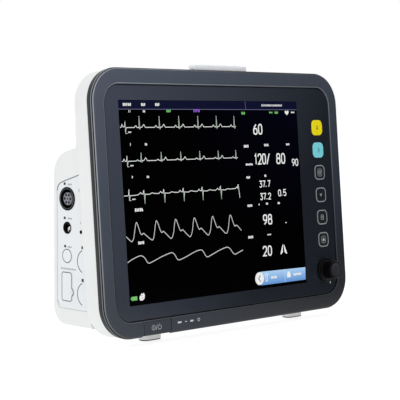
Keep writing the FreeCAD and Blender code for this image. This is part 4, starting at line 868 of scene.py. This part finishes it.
# calibration feet
lit("picture_steps", "lit_soft", [stroke(sx([(-115.9, 72.8), (-115.9, 62.4), (-113.6, 62.4)]), 0.5, N2, 0.04), stroke(sx([(-115.9, 42.2), (-115.9, 32.4), (-113.6, 32.4)]), 0.5, N2, 0.04),
    stroke(sx([(-115.9, 12.0), (-115.9, 2.0), (-113.6, 2.0)]), 0.5, N2, 0.04)])


def spline(pts, k=5):
    """A smooth curve through the points."""
    out = []
    for i in range(len(pts) - 1):
        p0, p1, p2, p3 = pts[max(0, i - 1)], pts[i], pts[i + 1], pts[min(len(pts) - 1, i + 2)]
        for j in range(k):
            t = j / k
            out.append(tuple(0.5 * (2 * p1[c] + (p2[c] - p0[c]) * t + (2 * p0[c] - 5 * p1[c] + 4 * p2[c] - p3[c]) * t * t + (3 * p1[c] - p0[c] - 3 * p2[c] + p3[c]) * t ** 3) for c in (0, 1)))
    return out + [pts[-1]]


pleth = [(-122.4, -30.0), (-119.4, -32.6), (-115.8, -34.8), (-113.2, -31.0), (-111.0, -22.6), (-109.2, -18.1), (-107.6, -20.2), (-105.0, -27.4), (-103.0, -29.3), (-101.0, -28.2), (-98.4, -30.0), (-92.8, -33.9), (-89.8, -34.8)]
for k_ in range(5):
    x_ = -84.1 + 24.75 * k_
    pleth += [(x_ - 3.6, -30.2), (x_ - 1.6, -21.8), (x_, -17.8), (x_ + 1.8, -20.2), (x_ + 4.6, -27.2), (x_ + 6.4, -28.9), (x_ + 8.2, -27.9), (x_ + 10.6, -29.6)]
    pleth += [(x_ + 15.6, -33.9), (x_ + 18.4, -34.9)] if k_ < 4 else [(29.8, -33.6)]
lit("picture_pleth", "lit_soft", [stroke(sx(spline(pleth, 4)), 0.72, N2, 0.04)])
resp = [(-122.6, -53.3), (-117.4, -51.0), (-109.0, -48.5), (-104.9, -48.4), (-101.2, -50.6), (-98.6, -54.2), (-96.4, -55.6), (-92.9, -55.0), (-80.0, -51.0), (-70.4, -48.7), (-66.4, -48.3), (-63.2, -50.2),
        (-60.2, -54.4), (-57.8, -55.6), (-54.4, -55.0), (-47.6, -53.2), (-36.1, -49.5), (-28.6, -48.4), (-25.6, -49.6), (-22.2, -54.2), (-19.6, -55.6), (-16.4, -54.8), (-4.4, -51.0), (4.8, -48.7), (8.9, -48.5),
        (12.3, -50.2), (15.9, -54.4), (18.8, -55.9), (22.4, -55.0), (30.2, -52.6)]
lit("picture_resp", "lit_soft", [stroke(sx(spline(resp, 4)), 0.72, N2, 0.04)])


# ------------------------------------------------------------------ digits, as rounded strokes on a small grid
def glyph(ch, w, t):
    """Strokes of a digit w wide and t tall from its lower left corner."""
    def oval(x0, x1, y0, y1, a0=0, a1=360, k=20):
        cx_, cy_ = (x0 + x1) / 2, (y0 + y1) / 2
        full = a1 - a0 == 360
        return [(cx_ + (x1 - x0) / 2 * math.copysign(abs(math.cos(math.radians(a))) ** 0.72, math.cos(math.radians(a))),
                 cy_ + (y1 - y0) / 2 * math.copysign(abs(math.sin(math.radians(a))) ** 0.72, math.sin(math.radians(a))))
                for a in [a0 + (a1 - a0) * i / k for i in range(k if full else k + 1)]], full
    if ch == "0":
        return [oval(0, w, 0, t)]
    if ch == "1":
        return [([(w * 0.12, t * 0.78), (w * 0.55, t), (w * 0.55, 0)], False)]
    if ch == "2":
        return [([(0, t * 0.74), (w * 0.06, t * 0.9), (w * 0.3, t), (w * 0.7, t), (w * 0.95, t * 0.88), (w, t * 0.7), (w * 0.88, t * 0.5), (0, 0), (w, 0)], False)]
    if ch == "3":
        return [([(0, t), (w, t), (w * 0.5, t * 0.6), (w * 0.85, t * 0.53), (w, t * 0.33), (w * 0.9, t * 0.1), (w * 0.6, 0), (w * 0.3, 0), (0, t * 0.14)], False)]
    if ch == "5":
        return [([(w * 0.95, t), (w * 0.1, t), (0, t * 0.52), (w * 0.35, t * 0.6), (w * 0.75, t * 0.58), (w, t * 0.4), (w, t * 0.2), (w * 0.75, t * 0.02), (w * 0.3, 0), (0, t * 0.12)], False)]
    if ch == "6":
        return [oval(0, w, 0, t * 0.58), ([(w * 0.78, t), (w * 0.3, t * 0.78), (w * 0.04, t * 0.5), (0, t * 0.3)], False)]
    if ch == "7":
        return [([(0, t), (w, t), (w * 0.38, 0)], False)]
    if ch == "8":
        return [oval(w * 0.06, w * 0.94, t * 0.52, t), oval(0, w, 0, t * 0.53)]
    if ch == "9":
        return [oval(0, w, t * 0.42, t), ([(w * 0.22, 0), (w * 0.7, t * 0.22), (w * 0.96, t * 0.5), (w, t * 0.7)], False)]
    if ch == "/":
        return [([(0, -t * 0.06), (w * 0.9, t * 1.04)], False)]
    if ch == "-":
        return [([(0, t * 0.45), (w * 0.8, t * 0.45)], False)]
    if ch == ".":
        return [([(w * 0.05, 0), (w * 0.05, t * 0.02)], False)]
    return []


def number(text, x, v, w, t, bold, n=N2, gap=0.45):
    """A row of digits whose middle is at (x, v) in screen coordinates."""
    steps = [w * 0.36 if c == "." else w * 0.75 if c == "1" else w for c in text]
    total = sum(steps) + gap * w * (len(text) - 1)
    out, cx_ = [], x - total / 2
    for c, s in zip(text, steps):
        ww = w * 0.75 if c == "1" else w * 0.36 if c == "." else w
        for pts, closed in glyph(c, ww - (0.0 if c != "." else 0.0), t):
            P = [(cx_ + a + SX, v - t / 2 + b) for a, b in pts]
            if c == ".":
                out.append(flat([(P[0][0] - bold / 2, P[0][1]), (P[0][0] + bold / 2, P[0][1]), (P[0][0] + bold / 2, P[0][1] + bold), (P[0][0] - bold / 2, P[0][1] + bold)], n, 0.04))
            else:
                out.append(stroke(P, bold, n, 0.04, closed))
        cx_ += s + gap * w
    return out


big = []
big += number("60", 62.0, 64.7, 5.0, 9.4, 1.45)
big += number("120/", 66.2, 35.2, 4.6, 9.6, 1.4, gap=0.38)
big += number("80", 94.1, 35.0, 5.0, 9.6, 1.4)
big += number("90", 116.0, 30.6, 3.6, 6.4, 1.0)
big += number("37.7", 67.8, 10.4, 3.3, 5.9, 1.0)
big += number("37.2", 67.9, -2.0, 3.3, 5.9, 1.0)
big += number("0.5", 93.3, 0.6, 3.5, 6.0, 1.0)
big += number("98", 69.0, -25.0, 5.0, 9.2, 1.4)
big += number("20", 66.0, -56.0, 5.0, 9.0, 1.4)
big += [stroke(sx([(95.6, -29.6), (97.6, -29.6)]), 0.8, N2, 0.04)]
lit("picture_numbers", "lit_white", big)


def label(x, v, widths, tall=1.7, n=N2, gap=0.5, start=None):
    """A row of short upright strokes that stands for a small caption without being letters."""
    total = sum(widths) + gap * (len(widths) - 1)
    out, cx_ = [], x - total / 2
    for i, w in enumerate(widths):
        P = [(cx_, v - tall / 2), (cx_ + w, v - tall / 2), (cx_ + w, v + tall / 2), (cx_, v + tall / 2)]
        if i % 3 == 1:
            P = [(cx_, v - tall / 2), (cx_ + w, v - tall / 2), (cx_ + w, v + tall * 0.1), (cx_ + w * 0.55, v + tall / 2), (cx_, v + tall / 2)]
        elif i % 3 == 2:
            P = [(cx_, v - tall / 2), (cx_ + w * 0.6, v - tall / 2), (cx_ + w, v), (cx_ + w, v + tall / 2), (cx_, v + tall / 2)]
        out.append(flat(sx(P), n, 0.04))
        cx_ += w + gap
    return out


W3, W4, W5 = [1.2] * 3, [1.2] * 4, [1.2] * 5
small = []
small += label(-112.3, 88.4, [1.2, 1.3, 1.3, 0.4, 1.5, 1.4], 2.6, gap=0.55) + label(-92.2, 88.4, [1.3, 1.4, 1.3], 2.6, gap=0.5) + label(-74.4, 88.5, [1.4, 1.4, 1.4], 2.6, gap=0.5)
small += label(85.0, 88.4, [0.9] * 5 + [1.1] * 4 + [0.3] + [1.1] * 8, 1.9, gap=0.75)
small += [stroke(sx([(-110.6, 81.2), (-110.6, 83.4)]), 0.5, N2, 0.04), stroke(sx([(-108.9, 81.2), (-108.9, 83.4)]), 0.5, N2, 0.04)] + label(-91.6, 82.3, [1.0, 1.2], 2.0)
small += [stroke(sx([(-110.8, 51.2), (-110.8, 53.6)]), 0.55, N2, 0.04)] + label(-91.5, 52.2, [1.0, 1.2], 2.0)
small += [stroke(sx([(-110.8, 22.0), (-110.8, 24.0)]), 1.0, N2, 0.04)] + label(-91.5, 22.6, [1.0, 1.2], 2.0)
small += label(-105.0, -6.8, [1.6, 1.3, 1.5, 1.5, 1.7], 2.9, gap=0.55) + label(-104.6, -36.6, [1.5, 1.4, 1.4, 1.3], 2.6, gap=0.5)
small += label(-110.8, 63.4, [1.0, 1.1, 1.0], 1.2, gap=0.3) + label(-110.4, 33.3, [1.0, 1.1, 1.0], 1.2, gap=0.3) + label(-110.4, 3.0, [1.0, 1.1, 1.0], 1.2, gap=0.3)
small += label(43.6, 48.2, [1.3, 1.4, 1.2, 1.3], 2.6, gap=0.45) + label(73.4, 48.9, [0.9, 1.1, 0.3, 1.1, 1.1], 2.4, gap=0.45) + label(106.2, 49.1, [1.5, 1.3, 1.3], 1.9, gap=0.45)
small += label(46.6, 30.3, [1.9, 1.5, 1.5, 1.5, 1.5], 1.9, gap=0.5) + label(44.0, 17.6, [1.3, 1.4, 1.4], 2.3, gap=0.45) + label(69.3, 18.5, [0.7, 1.5], 2.2, gap=0.4)
small += label(44.0, -10.1, [1.4, 1.4, 1.3, 1.2], 2.3, gap=0.45) + label(57.6, -9.6, [1.2], 1.7) + label(69.4, -9.3, [1.2, 1.2], 2.0, gap=0.4) + label(87.2, -9.5, [1.3, 1.3], 2.0, gap=0.4)
small += label(42.6, -40.9, [1.4, 1.3, 1.4, 1.3], 2.4, gap=0.45) + label(70.2, -40.1, [1.6, 1.4, 1.4], 1.2, gap=0.45)
heart = [(107.4, 78.6), (110.2, 81.0), (110.4, 82.4), (109.3, 83.3), (108.1, 82.9), (107.4, 82.0), (106.7, 82.9), (105.5, 83.3), (104.4, 82.4), (104.6, 81.0)]
small += [flat(sx(heart), N2, 0.04)] + label(116.8, 81.5, [1.5, 1.3, 1.4], 1.4, gap=0.45)
for s_ in (-1, 1):
    lung = [(0.5, 4.6), (1.4, 3.4), (2.6, 1.0), (4.6, -3.6), (5.0, -5.2), (4.0, -5.4), (2.6, -4.2), (1.4, -3.4), (1.0, 1.0), (0.5, 2.4)]
    P = [(90.5 + s_ * a, -55.6 + b) for a, b in lung]
    small.append(flat(sx(P if s_ < 0 else P[::-1]), N2, 0.04))
lit("picture_captions", "lit_white", small)
lit("picture_green", "lit_green", label(-60.3, 82.6, [1.5, 1.5, 1.5], 2.4, gap=0.45) + label(42.0, 80.6, [1.4, 1.4, 1.4], 2.6, gap=0.45) + label(83.0, 81.3, [1.5, 1.3, 1.2], 1.6, gap=0.4)
    + label(91.4, 81.2, [1.4, 1.4, 1.2], 2.3, gap=0.4) + [flat(sx([(-120.4, -87.6), (-113.4, -87.6), (-113.4, -84.1), (-120.4, -84.1)]), N2, 0.04), flat(sx([(-121.3, -86.7), (-120.5, -86.7), (-120.5, -85.0), (-121.3, -85.0)]), N2, 0.04)])
lit("picture_purple", "lit_purple", label(-23.2, 83.0, [1.3, 0.3, 2.0, 0.3, 2.0], 2.8, gap=0.6))
# soft key bar with its round arrow button
lit("picture_bar", "lit_bar", [flat(sx([(54.0, -89.3), (122.2, -89.3), (122.6, -76.7), (54.0, -75.9)]), N1, 0.04)])
lit("picture_round_button", "lit_white", [flat(sx(circle_pts(52.0, -82.4, 6.3, 40)), N2, 0.04)])
lit("picture_arrow", "lit_icon_dark", [stroke(sx([(53.4, -79.4), (50.6, -82.4), (53.4, -85.4)]), 0.9, N3, 0.04)])
bar_icons = [stroke(sx([(90.2, -89.0), (90.6, -76.4)]), 0.35, N2, 0.04)]
bar_icons += [stroke(sx([(61.4, -85.8), (61.4, -80.6), (60.4, -79.6), (62.4, -77.9), (64.4, -79.6), (63.4, -80.6), (63.4, -85.8)]), 0.7, N2, 0.04, True)] + label(73.6, -82.8, [1.7, 1.5, 0.6, 1.5, 1.5], 2.4, gap=0.4)
bar_icons += [flat(sx([(93.6, -84.8), (99.0, -84.8), (99.0, -81.8), (97.6, -79.0), (95.0, -79.0), (93.6, -81.8)]), N2, 0.04)] + label(109.6, -82.6, [1.8, 1.6, 1.6, 1.6, 1.6, 1.5], 2.2, gap=0.5)
lit("picture_bar_icons", "lit_white", bar_icons)
blob = [(-110.2, -88.2), (-107.2, -88.6), (-104.6, -87.2), (-103.9, -84.4), (-104.6, -82.2), (-105.6, -81.8), (-106.4, -83.0), (-107.4, -82.0), (-108.4, -82.4), (-108.8, -84.0), (-110.0, -84.0), (-110.6, -85.6)]
lit("picture_corner_icon", "lit_white", [flat(sx(blob), N2, 0.04)])
lit("picture_corner_gap", "lit_icon_dark", [stroke(sx([(-108.2, -84.6), (-107.0, -83.8)]), 0.5, N3, 0.04), stroke(sx([(-107.6, -86.6), (-105.8, -86.0)]), 0.5, N3, 0.04)])

# ------------------------------------------------------------------ left side: rings and marks on the label
XL = -162.8
XS = XL + 0.2          # label face
C1, C2 = 50.3, 25.3
EZ, NZ, BZ = 2.6, -23.8, -49.4


def side_flat(pts, mat, name, x=XS - 0.05, th=0.05, slot="label_white"):
    """A thin plate on the left side; pts are (y, z)."""
    k = len(pts)
    verts = [(x, a, b) for a, b in pts] + [(x + th, a, b) for a, b in pts]
    faces = [tuple(range(k)), tuple(reversed(range(k, 2 * k)))] + [(i, i + k, (i + 1) % k + k, (i + 1) % k) for i in range(k)]
    return verts, faces


def side_stroke(pts, width, x=XS - 0.04, th=0.04, closed=False):
    vs, fs = stroke(pts, width, 0.0, th, closed)
    return [(x + n, a, b) for a, n, b in vs], fs


def side(name, mat, geos, slot="label_white"):
    return make(name, *merged(*geos), LIFT, mat, "monitor", slot)


FB = XS - 0.53         # face of the blanks
# Painted shade: grey lines along the grooves round the blanks and the notch stand in for the shade in them.
marks = [side_stroke(circle_pts(C1, BZ, 6.1, 48), 0.75, FB, closed=True)]
notch = spline([(44.2, -78.6), (43.9, -74.0), (43.9, -66.2), (45.4, -64.5), (55.9, -64.5), (57.4, -66.2), (57.4, -88.8), (55.9, -90.5), (45.6, -90.5), (43.9, -88.8), (43.9, -85.6)], 1)
marks.append(side_stroke(notch, 0.75, FB))
marks.append(side_stroke([(43.9, -85.6), (42.6, -84.8), (41.9, -83.6), (41.9, -80.8), (42.8, -79.4), (44.2, -78.6)], 0.7, FB))
for zc in (-52.9, -82.6):
    marks.append(side_stroke(circle_pts(C2, zc, 10.75, 40, -66, 66), 0.85, XL - 0.14))
side("label_outlines", "groove_grey", marks)
# Painted shade: a grey line along the label's upper edge, the shade of its recess edge.
rim = [(33.0, 25.1), (44.0, 21.7), (53.8, 18.8), (58.6, 17.1), (61.4, 15.5), (63.4, 12.9), (64.3, 9.6)]
side("label_rim", "groove_grey", [side_stroke(spline(rim, 4), 0.7, XL - 0.04)])
side("label_rim_back", "rim_soft", [side_stroke([(64.35, 9.6), (64.4, 0.0), (64.4, -40.0), (64.4, -88.5), (63.4, -92.4), (60.8, -95.6)], 0.55, XL - 0.04)])
dots = []
for y_, z_, w_, t_ in ((53.9, 16.1, 2.7, 2.3), (53.9, -15.0, 2.7, 2.3), (53.4, -40.7, 2.7, 2.3), (29.7, -40.4, 2.4, 2.6), (29.3, -69.9, 2.9, 2.7)):
    dots.append(side_flat([(y_ + w_ / 2, z_ - t_ / 2), (y_ - w_ / 2, z_ - t_ / 2), (y_ - w_ / 2, z_ + t_ / 2), (y_ + w_ / 2, z_ + t_ / 2)][::-1], None, None))
side("label_dots", "mark_dark", dots)
soft = [side_stroke([(34.2, 12.4), (34.2, 9.6)], 1.7), side_stroke([(31.9, -17.2), (31.9, -19.4)], 1.5)]
ticks = []
for y_, z_ in ((46.7, 15.7), (46.6, -15.2), (47.0, -41.1)):
    for q in range(3):
        ticks.append(side_stroke([(y_ + 2.2 - q * 2.0, z_ - 0.75), (y_ + 2.2 - q * 2.0, z_ + 0.75)], 1.2))
for q in range(11):
    ticks.append(side_stroke([(58.8 - q * 1.95, -61.9), (58.8 - q * 1.95, -60.5)], 1.15))
side("label_soft_marks", "mark_soft", soft)
side("label_ticks", "mark_grey", ticks)

# ECG socket: shell with a pale ring painted as the highlight on its bevel, deep ring, and an insert with six holes
shell = make("ecg_socket_ring", *revolve([(9.15, XS + 17), (9.15, XS), (10.7, XS), (10.7, XS - 0.3), (10.6, XS - 0.43), (10.4, XS - 0.5), (9.35, XS - 0.5), (8.75, XS - 0.34), (8.2, XS + 0.1), (8.0, XS + 0.6), (8.0, XS + 11), (8.6, XS + 17)], 0, EZ, 72, "x", C1),
             LIFT, "socket_black", "monitor", "socket_black")
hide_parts("ecg_socket")
# Painted highlight: a grey ring on the shell's inner bevel.
make("ecg_ring_painted_highlight", *revolve([(9.36, XS - 0.44), (9.34, XS - 0.54), (9.2, XS - 0.57), (9.06, XS - 0.54), (9.0, XS - 0.36)], 0, EZ, 72, "x", C1), LIFT, "socket_dim", "monitor", "socket_black")
ins = make("ecg_insert_face", *revolve([(0, XS + 11), (5.8, XS + 11), (5.8, XS + 0.5), (5.7, XS + 0.3), (5.5, XS + 0.2), (0, XS + 0.2)], 0, EZ, 72, "x", C1), LIFT, "socket_grey", "monitor", "insert_grey")
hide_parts("ecg_insert")
plugs = []
for q in range(6):
    a_ = math.radians(60 * q)
    cy_, cz_ = C1 + 3.8 * math.cos(a_), EZ + 3.8 * math.sin(a_)
    boolean(ins, revolve([(0, XS - 1), (1.3, XS - 1), (1.3, XS + 8), (0, XS + 8)], 0, cz_, 28, "x", cy_), LIFT)
    plugs.append(side_flat(circle_pts(cy_, cz_, 1.28, 24)[::-1], None, None, XS + 0.55, 0.2))
boolean(ins, revolve([(0, XS - 1), (0.9, XS - 1), (0.9, XS + 8), (0, XS + 8)], 0, EZ, 24, "x", C1), LIFT)
side("ecg_contact_wells", "socket_black", plugs, "insert_grey")

# small air socket
air = make("air_socket_body", *revolve([(1.5, XS + 14), (4.55, XS + 14), (4.55, XS), (5.5, XS), (5.5, XS - 0.25), (5.4, XS - 0.42), (5.2, XS - 0.5), (4.4, XS - 0.5), (4.1, XS - 0.42), (3.95, XS - 0.2), (3.2, XS - 0.1), (3.2, XS + 10), (1.5, XS + 10)], 0, NZ, 56, "x", C1),
           LIFT, "socket_black", "monitor", "socket_dark")
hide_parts("pressure_socket")
# Painted highlight: two light patches in the socket stand in for the glint on its metal nozzle.
side("air_socket_key", "socket_ring", [side_flat([(C1 - 4.6, NZ + 1.9), (C1 - 1.7, NZ + 0.3), (C1 - 4.6, NZ - 2.0)][::-1], None, None, XS - 0.58, 0.5),
     side_flat([(C1 - 3.0, NZ - 1.2), (C1 - 1.3, NZ - 0.2), (C1 - 2.0, NZ - 3.3)][::-1], None, None, XS - 0.58, 0.5)], "socket_dark")


# ------------------------------------------------------------------ floor and light
def card(name, size, loc, rot, mat):
    me = bpy.data.meshes.new(name)
    w, h = size
    me.from_pydata([(-w / 2, -h / 2, 0), (w / 2, -h / 2, 0), (w / 2, h / 2, 0), (-w / 2, h / 2, 0)], [], [(0, 1, 2, 3)])
    me.materials.append(mat)
    o = bpy.data.objects.new(name, me)
    o.location, o.rotation_euler = loc, rot
    bpy.context.scene.collection.objects.link(o)
    return o


fm = Mat("floor_white", (0.3, 0.3, 0.3), 0.9, Specular_IOR_Level=0.05)
fm.vary(0.01, 300)
fm.b.inputs["Emission Color"].default_value = (1, 1, 1, 1)
fm.b.inputs["Emission Strength"].default_value = 0.8
card("floor", (14, 14), (0, 0, -0.0002), (0, 0, 0), fm.m)

world = bpy.data.worlds.new("world")
bpy.context.scene.world = world
world.use_nodes = True
bg = world.node_tree.nodes["Background"]
bg.inputs["Color"].default_value = (1, 1, 1, 1)
bg.inputs["Strength"].default_value = 1.0


def area(name, size, power_w, loc, target, colour=(1, 1, 1), spread=180):
    l = bpy.data.lights.new(name, "AREA")
    l.shape, l.size, l.size_y, l.energy, l.color = "RECTANGLE", size[0], size[1], power_w, colour
    l.spread = math.radians(spread)
    o = bpy.data.objects.new(name, l)
    o.location = loc
    d = Vector(target) - Vector(loc)
    o.rotation_euler = d.to_track_quat("-Z", "Y").to_euler()
    bpy.context.scene.collection.objects.link(o)
    return o


area("top_light", (1.6, 1.2), 2.0, (0.1, -0.2, 1.7), (0, 0, 0.12))
area("left_light", (1.4, 1.4), 0.5, (-1.8, 0.3, 0.9), (-0.1, 0, 0.12))
dark = Mat("card_black", (0.02, 0.02, 0.02), 0.9)
dark.vary(0.1, 100)
card("dark_card", (1.7, 0.75), (1.30, -0.85, 0.375), (math.radians(90), 0, math.radians(52)), dark.m).visible_camera = False
card("dark_floor", (2.0, 2.2), (1.28, -1.25, 0.0006), (0, 0, 0), dark.m)

bpy.context.scene.view_settings.view_transform = "Standard"
bpy.context.scene.view_settings.look = "None"

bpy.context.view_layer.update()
